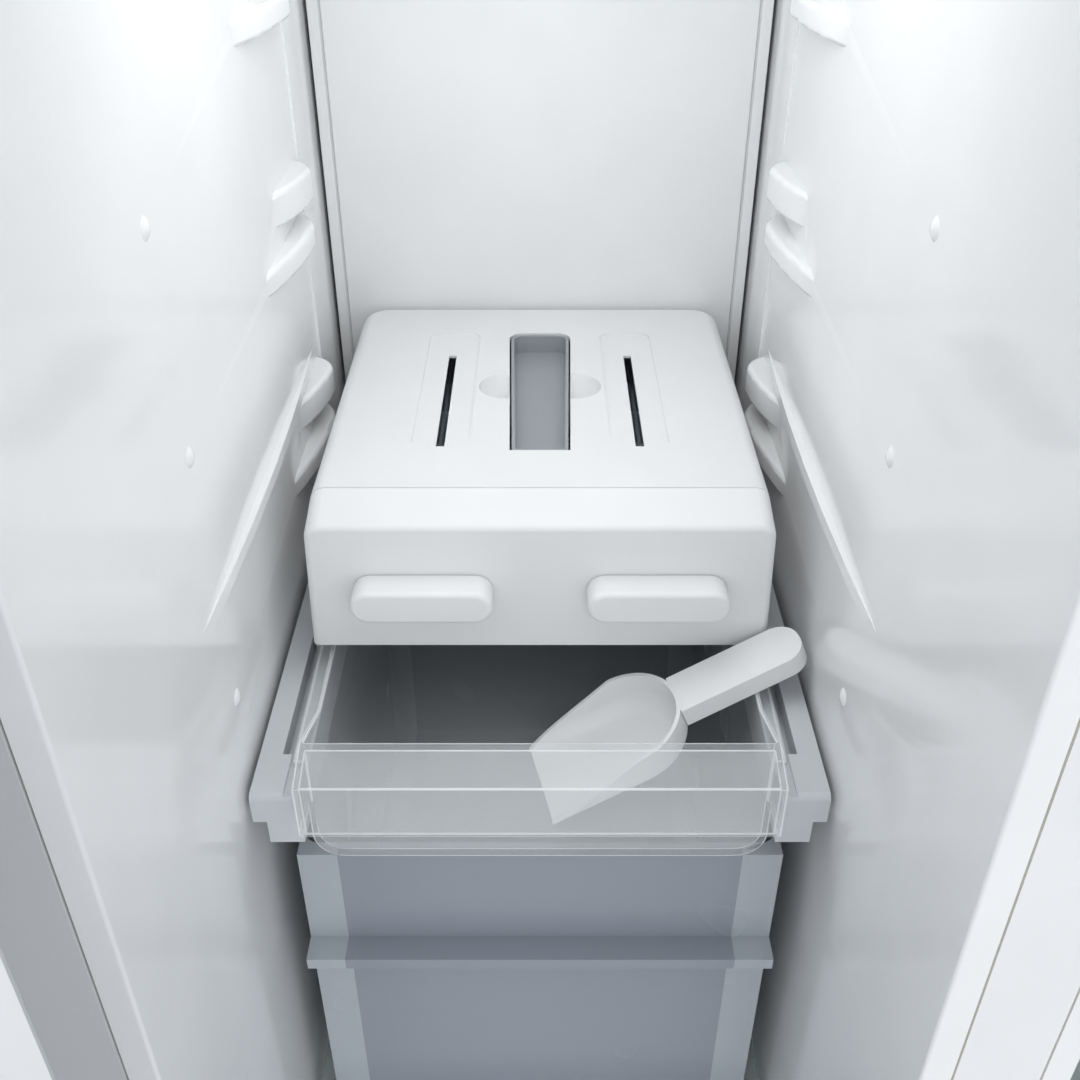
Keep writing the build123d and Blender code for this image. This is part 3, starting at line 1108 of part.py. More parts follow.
def maker_form(inset):
    """The ice maker's outer form, or the room inside it when inset by a wall."""
    half = MAKER_HALF - inset
    front = MAKER_FACE + inset
    back = MAKER_BACK - inset
    top = MAKER_TOP - inset
    with BuildPart() as form:
        with BuildSketch(Plane.XZ.offset(-back)):
            with BuildLine():
                Polyline(
                    (FREEZER_CENTRE - half - MAKER_DRAFT, MAKER_BASE),
                    (FREEZER_CENTRE + half + MAKER_DRAFT, MAKER_BASE),
                    (FREEZER_CENTRE + half, top),
                    (FREEZER_CENTRE - half, top),
                    close=True,
                )
            make_face()
        extrude(amount=back - front)
        brow = (
            (front, top - MAKER_BROW_DROP),
            (front + MAKER_BROW_DEPTH, top),
            (front, top),
        )
        add_across(brow, about(FREEZER_CENTRE, FREEZER_WIDTH), mode=Mode.SUBTRACT)
        back_corners = form.edges().group_by(Axis.Y)[-1].filter_by(Axis.X, reverse=True)
        fillet(back_corners, MAKER_BACK_RADIUS - inset)
        upper_faces = form.faces().sort_by(Axis.Z)[-2:]
        rim = upper_faces[0].edges() + upper_faces[1].edges()
        rim = rim.filter_by(Axis.X, reverse=True) + rim.sort_by(Axis.Y)[-1:]
        fillet(rim, MAKER_TOP_RADIUS - inset)
        front_face = form.faces().sort_by(Axis.Y)[0]
        fillet(front_face.edges().sort_by(Axis.Z)[-3:], MAKER_BROW_RADIUS - inset)
    return form.part


maker_outside = maker_form(0)
maker_inside = maker_form(MAKER_WALL)
lid_y = (MAKER_PARTING, MAKER_BACK)
lid_x = about(FREEZER_CENTRE, FREEZER_WIDTH / 2)
tray_sides = ((-1, "left"), (1, "right"))

# Ice maker's housing: hood, shaft holes, centre web and the two blades that stand in the shelf's grooves
with BuildPart() as ice_maker_housing:
    add(maker_outside)
    add(maker_inside, mode=Mode.SUBTRACT)
    add_box(lid_x, lid_y, (LID_BOTTOM, MAKER_TOP), mode=Mode.SUBTRACT)
    web_z = (TRAY_AXIS_Z - MAKER_WEB_HEIGHT / 2, TROUGH_BOTTOM)
    web_y = (MAKER_FACE + MAKER_WALL, MAKER_BACK - MAKER_WALL)
    add_box(about(FREEZER_CENTRE, MAKER_WEB / 2), web_y, web_z)
    for side, side_name in tray_sides:
        shaft_x = FREEZER_CENTRE + side * TRAY_AXIS_SIDE
        hole_start = (shaft_x, MAKER_FACE, TRAY_AXIS_Z)
        hole_end = (shaft_x, MAKER_BACK, TRAY_AXIS_Z)
        add_rod(hole_start, hole_end, TRAY_SHAFT_RADIUS + RUNNING_FIT, mode=Mode.SUBTRACT)
        blade_outer = middle(GROOVE) + MAKER_BLADE / 2
        foot_ends = (MAKER_HALF, blade_outer)
        foot_x = sorted(FREEZER_CENTRE + side * end for end in foot_ends)
        blade_y = (MAKER_FACE + MAKER_BLADE_SETBACK, MAKER_BACK - MAKER_BACK_RADIUS)
        add_box(foot_x, blade_y, (MAKER_BASE, MAKER_BASE + MAKER_WALL))
        blade_x = sorted(FREEZER_CENTRE + side * end for end in (blade_outer - MAKER_BLADE, blade_outer))
        add_box(blade_x, blade_y, (SHELF_HEIGHT - GROOVE_DEPTH, MAKER_BASE))
save(ice_maker_housing.part, "ice_maker_housing")


def trough_plan(plane, grow):
    """The trough's tapered plan, narrower towards the front."""
    front = CASE_FRONT + TROUGH_SLOT_FRONT - grow
    back = CASE_FRONT + TROUGH_SLOT_FRONT + TROUGH_SLOT_LENGTH + grow
    front_half = TROUGH_SLOT_FRONT_WIDTH / 2 + grow
    back_half = TROUGH_SLOT_BACK_WIDTH / 2 + grow
    with BuildSketch(plane) as outline:
        with BuildLine():
            Polyline(
                (FREEZER_CENTRE - front_half, front),
                (FREEZER_CENTRE + front_half, front),
                (FREEZER_CENTRE + back_half, back),
                (FREEZER_CENTRE - back_half, back),
                close=True,
            )
        make_face()
        fillet(outline.vertices().group_by(Axis.Y)[-1], TROUGH_RADIUS + grow)
    return outline.sketch


# Lid: filling slits in two shallow panels, and the trough's slot with a finger hollow on each side
with BuildPart() as ice_maker_lid:
    add(maker_outside)
    add(maker_inside, mode=Mode.SUBTRACT)
    with Locations((FREEZER_CENTRE, CASE_FRONT + FINGER_CENTRE, MAKER_TOP + FINGER_RISE)):
        with GridLocations(TROUGH_SLOT_BACK_WIDTH, 0, 2, 1):
            Sphere(FINGER_RADIUS + FINGER_WALL)
    lid_room = (lid_y[0] + MAKER_LID_GAP, lid_y[1]), (LID_BOTTOM + MAKER_LID_GAP, MAKER_TOP)
    add_box(lid_x, *lid_room, mode=Mode.INTERSECT)
    with Locations((FREEZER_CENTRE, CASE_FRONT + FINGER_CENTRE, MAKER_TOP + FINGER_RISE)):
        with GridLocations(TROUGH_SLOT_BACK_WIDTH, 0, 2, 1):
            Sphere(FINGER_RADIUS, mode=Mode.SUBTRACT)
    for side in (-1, 1):
        panel_x = about(FREEZER_CENTRE + side * FILL_PANEL_SIDE, FILL_PANEL_WIDTH / 2)
        panel_front = CASE_FRONT + FILL_PANEL_FRONT
        panel_y = (panel_front, panel_front + FILL_PANEL_LENGTH)
        panel_z = (MAKER_TOP - FILL_PANEL_DEPTH, MAKER_TOP)
        add_pillar(panel_x, panel_y, panel_z, FILL_PANEL_RADIUS, mode=Mode.SUBTRACT)
        slit_front = CASE_FRONT + FILL_SLIT_FRONT
        slit_y = (slit_front, slit_front + FILL_SLIT_LENGTH)
        slit_x = about(FREEZER_CENTRE + side * FILL_PANEL_SIDE, FILL_SLIT_WIDTH / 2)
        add_box(slit_x, slit_y, (LID_BOTTOM, MAKER_TOP), mode=Mode.SUBTRACT)
    slot_outline = trough_plan(Plane.XY.offset(LID_BOTTOM), 0)
    extrude(slot_outline, amount=MAKER_LID_DEPTH, mode=Mode.SUBTRACT)
save(ice_maker_lid.part, "ice_maker_lid")

# Water trough that stands on the housing's web and lifts out through the lid
with BuildPart() as water_trough:
    trough_outline = trough_plan(Plane.XY.offset(TROUGH_BOTTOM), -TROUGH_GAP)
    extrude(trough_outline, amount=TROUGH_TOP - TROUGH_BOTTOM)
    channel_inset = -TROUGH_GAP - TROUGH_WALL
    channel_floor = Plane.XY.offset(TROUGH_TOP - TROUGH_CHANNEL)
    channel_outline = trough_plan(channel_floor, channel_inset)
    extrude(channel_outline, amount=TROUGH_CHANNEL, mode=Mode.SUBTRACT)
save(water_trough.part, "water_trough")

# Twist trays, each on a shaft through the housing, and their knobs
tray_y = (MAKER_FACE + MAKER_WALL + TRAY_END_GAP, MAKER_BACK - MAKER_WALL - TRAY_END_GAP)
tray_z = about(TRAY_AXIS_Z, TRAY_HEIGHT / 2)
knob_y = (MAKER_FACE - KNOB_REACH, MAKER_FACE - KNOB_GAP)

for side, side_name in tray_sides:
    shaft_x = FREEZER_CENTRE + side * TRAY_AXIS_SIDE

    with BuildPart() as ice_tray:
        tray_x = about(shaft_x, TRAY_WIDTH / 2)
        add_box(tray_x, tray_y, tray_z)
        cup_width = (TRAY_WIDTH - 3 * TRAY_WALL) / 2
        cup_length = (span(tray_y) - (TRAY_CUPS + 1) * TRAY_WALL) / TRAY_CUPS
        with BuildSketch(Plane.XY.offset(tray_z[1])) as cups:
            with Locations((shaft_x, middle(tray_y))):
                with GridLocations(cup_width + TRAY_WALL, cup_length + TRAY_WALL, 2, TRAY_CUPS):
                    Rectangle(cup_width, cup_length)
        cup_depth = TRAY_HEIGHT - TRAY_WALL
        extrude(cups.sketch, amount=-cup_depth, taper=TRAY_CUP_DRAFT, mode=Mode.SUBTRACT)
        front_shaft = (shaft_x, knob_y[0] + TRAY_SHAFT_END, TRAY_AXIS_Z)
        add_rod(front_shaft, (shaft_x, tray_y[0], TRAY_AXIS_Z), TRAY_SHAFT_RADIUS)
        add_rod((shaft_x, tray_y[1], TRAY_AXIS_Z), (shaft_x, MAKER_BACK, TRAY_AXIS_Z), TRAY_SHAFT_RADIUS)
    save(ice_tray.part, f"{side_name}_ice_tray")

    with BuildPart() as twist_knob:
        with BuildSketch(Plane.XZ.offset(-knob_y[1])):
            with Locations((shaft_x, TRAY_AXIS_Z)):
                SlotOverall(KNOB_WIDTH, KNOB_HEIGHT)
        extrude(amount=span(knob_y))
        fillet(twist_knob.faces().sort_by(Axis.Y)[0].edges(), KNOB_EDGE)
        add_rod(front_shaft, (shaft_x, knob_y[1], TRAY_AXIS_Z), TRAY_SHAFT_RADIUS, mode=Mode.SUBTRACT)
    save(twist_knob.part, f"{side_name}_twist_knob")


def shelf_limits(compartment, back):
    """The (x, y) limits of a glass shelf in a compartment."""
    gap = SHELF_CLEARANCE + FLUTE_REACH
    return grown(compartment, -gap), (CASE_FRONT + SHELF_FRONT, back - SHELF_CLEARANCE)


# Glass shelves and the trims along their fronts
with BuildPart() as freezer_shelves:
    for level in FREEZER_SHELVES:
        add_box(*shelf_limits(FREEZER, SHELF_BACK), (level - GLASS, level))
save(freezer_shelves.part, "freezer_shelves")

fridge_shelf_back = INSIDE_BACK - DUCT_DEPTH

with BuildPart() as fridge_shelves:
    for level in fridge_levels:
        add_box(*shelf_limits(FRIDGE, fridge_shelf_back), (level - GLASS, level))
save(fridge_shelves.part, "fridge_shelves")

with BuildPart() as shelf_trims:
    for compartment, levels in ((FREEZER, FREEZER_SHELVES), (FRIDGE, fridge_levels)):
        trim_x = grown(compartment, -SHELF_CLEARANCE - FLUTE_REACH)
        trim_front = CASE_FRONT + SHELF_FRONT - SHELF_TRIM_DEPTH
        for level in levels:
            add_box(trim_x, (trim_front, CASE_FRONT + SHELF_FRONT), (level - SHELF_TRIM_HEIGHT, level))
    fillet(shelf_trims.edges().filter_by(Axis.X), SHELF_TRIM_RADIUS)
save(shelf_trims.part, "shelf_trims")


def make_drawer(name, x, back, floor, height):
    """A drawer with a thick front and a pull across it, below the front's top edge."""
    front = CASE_FRONT + DRAWER_SETBACK
    z = (floor + DRAWER_FLOOR_GAP, floor + DRAWER_FLOOR_GAP + height)
    with BuildPart() as drawer:
        add_tub(x, (front, back), z, DRAWER_WALL, DRAWER_RADIUS)
        add_box(x, (front - DRAWER_FRONT_WALL, front + DRAWER_WALL), z)
        pull_y = (front - DRAWER_FRONT_WALL - DRAWER_PULL_DEPTH, front)
        pull_top = z[1] - DRAWER_PULL_DROP
        add_box(x, pull_y, (pull_top - DRAWER_PULL_HEIGHT, pull_top))
    save(drawer.part, name)


drawer_x = about(FREEZER_CENTRE, DRAWER_HALF)
drawer_back = SHELF_BACK - DRAWER_REAR_GAP
step_back = STEP_FRONT - DRAWER_REAR_GAP
make_drawer("upper_freezer_drawer", drawer_x, drawer_back, MIDDLE_SHELF, UPPER_DRAWER_HEIGHT)
make_drawer("middle_freezer_drawer", drawer_x, drawer_back, LOWER_SHELF, MIDDLE_DRAWER_HEIGHT)
make_drawer("lower_freezer_drawer", drawer_x, step_back, INSIDE_BOTTOM, LOWER_DRAWER_HEIGHT)

crisper_edges = (FRIDGE[0] + DRAWER_SIDE_GAP, FRIDGE[1] - DRAWER_SIDE_GAP)
left_crisper_x = (crisper_edges[0], FRIDGE_CENTRE - CRISPER_SPLIT_GAP / 2)
right_crisper_x = (FRIDGE_CENTRE + CRISPER_SPLIT_GAP / 2, crisper_edges[1])
make_drawer("left_crisper", left_crisper_x, step_back, INSIDE_BOTTOM, CRISPER_HEIGHT)
make_drawer("right_crisper", right_crisper_x, step_back, INSIDE_BOTTOM, CRISPER_HEIGHT)

# Air duct on the fridge compartment's back wall, with an outlet above each shelf
with BuildPart() as fridge_air_duct:
    duct_x = about(FRIDGE_CENTRE, DUCT_WIDTH / 2)
    duct_z = (STEP_TOP + DUCT_END_GAP, INSIDE_TOP - DUCT_END_GAP)
    duct_face = INSIDE_BACK - DUCT_DEPTH
    add_box(duct_x, (duct_face, INSIDE_BACK), duct_z)
    fillet(fridge_air_duct.faces().sort_by(Axis.Y)[0].edges(), DUCT_RADIUS)
    duct_room = (duct_face + DUCT_WALL, INSIDE_BACK), grown(duct_z, -DUCT_RADIUS)
    add_box(grown(duct_x, -DUCT_RADIUS), *duct_room, mode=Mode.SUBTRACT)
    for level in FRIDGE_SHELF_HEIGHTS:
        outlet_z = about(level + DUCT_SLOT_LIFT, DUCT_SLOT_HEIGHT / 2)
        outlet_x = about(FRIDGE_CENTRE, DUCT_SLOT_LENGTH / 2)
        add_box(outlet_x, (duct_face, duct_face + DUCT_WALL), outlet_z, mode=Mode.SUBTRACT)
save(fridge_air_duct.part, "fridge_air_duct")

# Lamp covers and the control panel on the ceilings
with BuildPart() as lamp_covers:
    for centre in (FREEZER_CENTRE, FRIDGE_CENTRE):
        lamp_y = (CASE_FRONT + LAMP_SETBACK, CASE_FRONT + LAMP_SETBACK + LAMP_DEPTH)
        lamp_z = (INSIDE_TOP - LAMP_HEIGHT, INSIDE_TOP)
        add_pillar(about(centre, LAMP_WIDTH / 2), lamp_y, lamp_z, LAMP_RADIUS)
    fillet(lamp_covers.faces().filter_by(Axis.Z).group_by(Axis.Z)[0].edges(), LAMP_EDGE)
save(lamp_covers.part, "lamp_covers")

with BuildPart() as control_panel:
    control_y = (CASE_FRONT + CONTROL_SETBACK, CASE_FRONT + CONTROL_SETBACK + CONTROL_DEPTH)
    control_z = (INSIDE_TOP - CONTROL_HEIGHT, INSIDE_TOP)
    add_pillar(about(FRIDGE_CENTRE, CONTROL_WIDTH / 2), control_y, control_z, CONTROL_RADIUS)
    fillet(control_panel.faces().sort_by(Axis.Z)[0].edges(), CONTROL_EDGE)
save(control_panel.part, "control_panel")
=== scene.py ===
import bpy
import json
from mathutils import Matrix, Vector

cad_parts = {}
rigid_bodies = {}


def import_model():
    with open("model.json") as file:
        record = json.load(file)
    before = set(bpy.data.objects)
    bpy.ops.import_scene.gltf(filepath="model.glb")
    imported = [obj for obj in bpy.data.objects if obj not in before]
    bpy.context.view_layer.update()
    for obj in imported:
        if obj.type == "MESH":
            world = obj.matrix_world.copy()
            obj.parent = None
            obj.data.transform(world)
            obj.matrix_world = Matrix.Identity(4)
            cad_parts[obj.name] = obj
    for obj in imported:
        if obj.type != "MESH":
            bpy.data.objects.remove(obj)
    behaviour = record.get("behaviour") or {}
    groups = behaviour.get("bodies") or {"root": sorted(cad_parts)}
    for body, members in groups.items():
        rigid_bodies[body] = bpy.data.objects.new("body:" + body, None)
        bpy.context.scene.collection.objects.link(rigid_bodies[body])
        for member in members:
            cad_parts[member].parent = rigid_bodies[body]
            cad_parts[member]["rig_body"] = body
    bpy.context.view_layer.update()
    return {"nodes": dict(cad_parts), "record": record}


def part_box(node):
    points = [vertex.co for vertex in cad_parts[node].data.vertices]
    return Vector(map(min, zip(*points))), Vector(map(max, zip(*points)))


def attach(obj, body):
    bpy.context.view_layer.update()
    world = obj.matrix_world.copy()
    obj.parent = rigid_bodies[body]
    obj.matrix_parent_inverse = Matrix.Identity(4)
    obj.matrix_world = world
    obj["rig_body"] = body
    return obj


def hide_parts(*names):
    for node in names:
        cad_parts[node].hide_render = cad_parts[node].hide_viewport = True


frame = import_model()
print("nodes in the model:", len(frame["nodes"]))

# %% [markdown]
# # A side by side refrigerator, dressed for its portrait
# The solids already stand at their real size, with both doors open. This lesson gives them their
# finishes, rounds the edges that a mould or a press would round, and adds the small parts that catch
# the eye. Everything is in metres, in the model's own frame: +X right, +Y to the back, +Z up.

# %% Tools and units
import json
import math

import bmesh
import bpy
import numpy as np

MM = 0.001
scene = bpy.context.scene
scene.view_settings.view_transform = "Standard"
print("colours are shown with the", scene.view_settings.view_transform, "transform")

# %% [markdown]
# ## The eye
# The picture was taken from just outside the open freezer, above the ice maker, looking down at it.
# A camera could be aimed at a target with a constraint. It is placed by plain numbers here, because
# three measures fix it: how far it is before the liner's mouth, how high over the shelf, and its pitch
# in degrees. The lens is given in millimetres, as on a real camera.

# %% Camera
EYE_BEFORE_MOUTH = 0.256
EYE_OVER_SHELF = 0.4335
EYE_PITCH = 34.25
LENS = 38.43
NEAREST_SEEN = 10 * MM

mouth_low, mouth_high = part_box("freezer_liner")
shelf_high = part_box("ice_shelf_frame")[1]
freezer_middle = (mouth_low.x + mouth_high.x) / 2
eye = bpy.data.objects.new("eye", bpy.data.cameras.new("eye"))
eye.data.lens = LENS
eye.data.clip_start = NEAREST_SEEN
eye.location = (freezer_middle, mouth_low.y - EYE_BEFORE_MOUTH, shelf_high.z + EYE_OVER_SHELF)
eye.rotation_euler = (math.radians(90 - EYE_PITCH), 0, 0)
scene.collection.objects.link(eye)
scene.camera = eye
print("eye at", [round(value, 3) for value in eye.location])

# %% [markdown]
# ## Light
# A freezer is a white box that is lit only through its mouth, so the light comes from broad lamps in
# front of it, and the walls hand it on to each other. A single small lamp would leave hard shadows.
# The world is a pale room, a little brighter where it is seen or mirrored than in the light it gives.

# %% World and lamps
ROOM_LIGHT = 0.92
ROOM_SEEN = 1.0
ROOM_TINT = (0.96, 0.98, 1.0)
LAMP_UNDER_SHELF = 8 * MM
lamp_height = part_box("freezer_shelves")[1].z - LAMP_UNDER_SHELF
fridge_middle = sum(corner.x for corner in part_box("fridge_liner")) / 2
# Each lamp: its place, the place it is aimed at, its width and depth, and its watts.
LAMPS = {
    "front_softbox": ((0.0, -2.3, 2.15), (freezer_middle, 0.3, 1.15), (2.2, 2.2), 7.0),
    "low_front_fill": ((1.5, -2.4, 1.0), (0.4, 0.2, 0.8), (1.6, 1.6), 5.0),
    "overhead_softbox": ((0.4, 0.0, 3.6), (0.4, 0.2, 0.0), (2.6, 2.6), 8.0),
    "rear_softbox": ((0.2, 3.2, 2.2), (0.4, 0.5, 0.8), (2.2, 2.2), 9.0),
    "freezer_lamp": ((freezer_middle, 0.24, lamp_height), (freezer_middle, 0.24, 0),
                     (0.27, 0.26), 0.56),
    "fridge_lamp": ((fridge_middle, 0.2, 1.68), (fridge_middle, 0.2, 0), (0.36, 0.2), 0.3),
}


def aim(thing, target):
    """Turns a lamp so that its -Z axis points from where it stands to the target."""
    way = np.array(target) - np.array(thing.location)
    level = math.hypot(way[0], way[1])
    heading = math.atan2(way[1], way[0]) - math.pi / 2
    thing.rotation_euler = (math.atan2(level, -way[2]), 0, heading)


for lamp_name, (place, target, size, power) in LAMPS.items():
    lamp = bpy.data.objects.new(lamp_name, bpy.data.lights.new(lamp_name, "AREA"))
    lamp.data.shape = "RECTANGLE"
    lamp.data.size, lamp.data.size_y = size
    lamp.data.energy = power
    lamp.location = place
    aim(lamp, target)
    scene.collection.objects.link(lamp)

room = bpy.data.worlds.new("pale_room")
room.use_nodes = True
scene.world = room
room_nodes = room.node_tree.nodes
room_links = room.node_tree.links
seen = room_nodes.new("ShaderNodeLightPath")
seen_or_mirrored = room_nodes.new("ShaderNodeMath")
seen_or_mirrored.operation = "MAXIMUM"
brightness = room_nodes.new("ShaderNodeMapRange")
brightness.inputs["To Min"].default_value = ROOM_LIGHT
brightness.inputs["To Max"].default_value = ROOM_SEEN
room_links.new(seen.outputs["Is Camera Ray"], seen_or_mirrored.inputs[0])
room_links.new(seen.outputs["Is Glossy Ray"], seen_or_mirrored.inputs[1])
room_links.new(seen_or_mirrored.outputs[0], brightness.inputs["Value"])
room_links.new(brightness.outputs["Result"], room_nodes["Background"].inputs["Strength"])
room_nodes["Background"].inputs["Color"].default_value = (*ROOM_TINT, 1)
print("lamps:", ", ".join(LAMPS))

# %% [markdown]
# ## Finishes
# Every finish is a recipe of a few noises read in Object coordinates, so that a pattern has a real
# size and stays on its piece when a door swings. An image could be wrapped on instead, but it would
# need unwrapped meshes and would blur close up. One helper sets up the shader, and small helpers add
# what a recipe needs: cloudy colour, cloudy gloss, and fine or broad relief.

# %% Finish helpers
PATTERN_START = 0.3
PATTERN_END = 0.7


def shade(colour, factor):
    """A colour made darker or lighter by a factor."""
    return tuple(min(1.0, channel * factor) for channel in colour)


class Finish:
    """A material with one shader, and the noises that vary its colour, gloss and relief."""

    def __init__(self, name, colour, rough, **sockets):
        self.colour = colour
        self.rough = rough
        self.material = bpy.data.materials.new(name)
        self.material.use_nodes = True
        self.nodes = self.material.node_tree.nodes
        self.links = self.material.node_tree.links
        self.shader = self.nodes["Principled BSDF"]
        self.shader.inputs["Base Color"].default_value = (*colour, 1)
        self.shader.inputs["Roughness"].default_value = rough
        for socket, value in sockets.items():
            self.shader.inputs[socket.replace("_", " ")].default_value = value
        self.place = self.nodes.new("ShaderNodeTexCoord").outputs["Object"]
        self.relief = None

    def noise(self, size, stretch=(1, 1, 1), detail=3.0):
        """Cloudy noise: blotches about size metres across, drawn out along an axis by stretch."""
        mapping = self.nodes.new("ShaderNodeMapping")
        mapping.inputs["Scale"].default_value = [1 / (size * pull) for pull in stretch]
        texture = self.nodes.new("ShaderNodeTexNoise")
        texture.inputs["Scale"].default_value = 1.0
        texture.inputs["Detail"].default_value = detail
        self.links.new(self.place, mapping.inputs["Vector"])
        self.links.new(mapping.outputs["Vector"], texture.inputs["Vector"])
        return texture.outputs["Fac"]

    def cells(self, size):
        """Cell pattern whose cells are about size metres across."""
        mapping = self.nodes.new("ShaderNodeMapping")
        mapping.inputs["Scale"].default_value = [1 / size] * 3
        texture = self.nodes.new("ShaderNodeTexVoronoi")
        texture.inputs["Scale"].default_value = 1.0
        self.links.new(self.place, mapping.inputs["Vector"])
        self.links.new(mapping.outputs["Vector"], texture.inputs["Vector"])
        return texture.outputs["Distance"]

    def colour_between(self, pattern, low, high, start=PATTERN_START, end=PATTERN_END):
        """Base colour runs from low to high as the pattern runs from start to end."""
        ramp = self.nodes.new("ShaderNodeValToRGB")
        ramp.color_ramp.elements[0].position = start
        ramp.color_ramp.elements[1].position = end
        ramp.color_ramp.elements[0].color = (*low, 1)
        ramp.color_ramp.elements[1].color = (*high, 1)
        self.links.new(pattern, ramp.inputs["Fac"])
        self.links.new(ramp.outputs["Color"], self.shader.inputs["Base Color"])
        return self

    def shaded(self, pattern, low, high, start=PATTERN_START, end=PATTERN_END):
        """The finish's own colour, times low to high as the pattern runs from start to end."""
        darker, lighter = shade(self.colour, low), shade(self.colour, high)
        return self.colour_between(pattern, darker, lighter, start, end)

    def rough_between(self, pattern, low, high, start=PATTERN_START, end=PATTERN_END):
        """Roughness runs from low to high as the pattern runs from start to end."""
        span = self.nodes.new("ShaderNodeMapRange")
        span.inputs["From Min"].default_value = start
        span.inputs["From Max"].default_value = end
        span.inputs["To Min"].default_value = low
        span.inputs["To Max"].default_value = high
        self.links.new(pattern, span.inputs["Value"])
        self.links.new(span.outputs["Result"], self.shader.inputs["Roughness"])
        return self

    def glossed(self, pattern, low, high, start=PATTERN_START, end=PATTERN_END):
        """The finish's own roughness, times low to high as the pattern runs from start to end."""
        return self.rough_between(pattern, self.rough * low, self.rough * high, start, end)

    def raised(self, pattern, depth):
        """Relief: the pattern's highs stand depth metres over its lows. Calls add up."""
        bump = self.nodes.new("ShaderNodeBump")
        bump.inputs["Strength"].default_value = 1.0
        bump.inputs["Distance"].default_value = depth
        self.links.new(pattern, bump.inputs["Height"])
        if self.relief is not None:
            self.links.new(self.relief, bump.inputs["Normal"])
        self.relief = bump.outputs["Normal"]
        self.links.new(self.relief, self.shader.inputs["Normal"])
        return self


print("finish helpers ready")

# %% [markdown]
# ## Moulded plastics
# The liner is a sheet of white styrene drawn over a mould: glossy, with a faint waviness that bends
# reflections, and a cool tint. The ice maker and its knobs are moulded in a satin white with a fine
# grain. Both are one recipe, a clouded colour, a clouded gloss, a broad wave and a fine grain, with
# different numbers.

# %% Moulded plastic finishes
CLOUD_SIZE = 90 * MM
CLOUD_SHADES = (0.975, 1.015)
GLOSS_SIZE = 35 * MM
GLOSS_SHARES = (0.88, 1.14)
WAVE_SIZE = 120 * MM
FINE_GRAIN = 0.6 * MM
BROAD_GRAIN = 3 * MM
COARSE_GRAIN = 0.9 * MM


def moulded(name, colour, rough, wave=0.0, grain=0.0, grain_size=FINE_GRAIN, **sockets):
    """Opaque moulded plastic. wave and grain are the depths of the broad and the fine relief."""
    finish = Finish(name, colour, rough, **sockets)
    finish.shaded(finish.noise(CLOUD_SIZE, detail=2.0), *CLOUD_SHADES)
    finish.glossed(finish.noise(GLOSS_SIZE), *GLOSS_SHARES)
    if wave:
        finish.raised(finish.noise(WAVE_SIZE, detail=1.0), wave)
    if grain:
        finish.raised(finish.noise(grain_size, detail=2.0), grain)
    return finish.material


finishes = {
    "liner_white": moulded("glossy_liner", (0.905, 0.913, 0.922), 0.12, wave=0.5 * MM,
                           grain=0.004 * MM, grain_size=BROAD_GRAIN),
    "cover_white": moulded("glossy_cover", (0.865, 0.875, 0.885), 0.22, wave=0.3 * MM,
                           grain=0.004 * MM, grain_size=BROAD_GRAIN),
    "maker_white": moulded("satin_ice_maker", (0.84, 0.845, 0.85), 0.42, grain=0.012 * MM),
    "scoop_white": moulded("satin_scoop", (0.9, 0.905, 0.91), 0.36, grain=0.008 * MM),
    "tray_plastic": moulded("flexible_tray", (0.60, 0.68, 0.75), 0.34, grain=0.01 * MM),
    "frame_grey": moulded("satin_shelf_frame", (0.62, 0.645, 0.67), 0.36, grain=0.012 * MM),
    "trim_grey": moulded("grained_dark_plastic", (0.075, 0.08, 0.088), 0.52, grain=0.05 * MM,
                         grain_size=COARSE_GRAIN),
    "trough_plastic": moulded("grey_trough", (0.33, 0.355, 0.38), 0.34, grain=0.01 * MM),
    "lamp_frost": moulded("frosted_lamp_cover", (0.93, 0.93, 0.90), 0.5, grain=0.02 * MM,
                          Emission_Color=(1.0, 0.97, 0.92, 1), Emission_Strength=1.2),
}
print("moulded finishes:", ", ".join(finishes))

# %% [markdown]
# ## Clear plastic and glass
# The ice bin, the crispers and the door bins are clear styrene, and the shelves are glass. A refracting
# shader bends light well, but it keeps lamp light out of a box that is made of it. Thin clear walls hide
# little anyway: they show by their gloss and by the white of their reflection where they are seen at a
# slant. So each is a veil, with an alpha that rises towards the slant: the white it gains there is
# painted reflection, over a faint milkiness of its own. The whiter veil on the styrene's rounded rims is
# a painted highlight, and the glass rims take the green of glass seen edge-on.

# %% See-through finishes
SLANT_BLEND = 0.3
CLEAR_GLOSS_SIZE = 25 * MM
CLEAR_GLOSS_SHARES = (0.8, 1.25)
CLEAR_WAVE_SIZE = 70 * MM
CLEAR_WAVE = 0.1 * MM


def veil(name, colour, rough, face_on, slanted):
    """Thin clear wall: its alpha runs from face_on to slanted as the wall turns edge-on to the eye.
    The white that it gains at a slant is painted reflection, over its own faint milkiness.
    """
    finish = Finish(name, colour, rough)
    finish.glossed(finish.noise(CLEAR_GLOSS_SIZE), *CLEAR_GLOSS_SHARES)
    finish.raised(finish.noise(CLEAR_WAVE_SIZE, detail=1.0), CLEAR_WAVE)
    tilt = finish.nodes.new("ShaderNodeLayerWeight")
    tilt.inputs["Blend"].default_value = SLANT_BLEND
    cover = finish.nodes.new("ShaderNodeMapRange")
    cover.inputs["To Min"].default_value = face_on
    cover.inputs["To Max"].default_value = slanted
    finish.links.new(tilt.outputs["Facing"], cover.inputs["Value"])
    finish.links.new(cover.outputs["Result"], finish.shader.inputs["Alpha"])
    return finish.material


# At a slant these veils thicken into their pale colour: a painted reflection.
finishes |= {
    "clear_plastic": veil("clear_styrene", (0.86, 0.89, 0.91), 0.07, 0.12, 0.5),
    "shelf_glass": veil("shelf_glass", (0.72, 0.86, 0.82), 0.03, 0.10, 0.6),
}
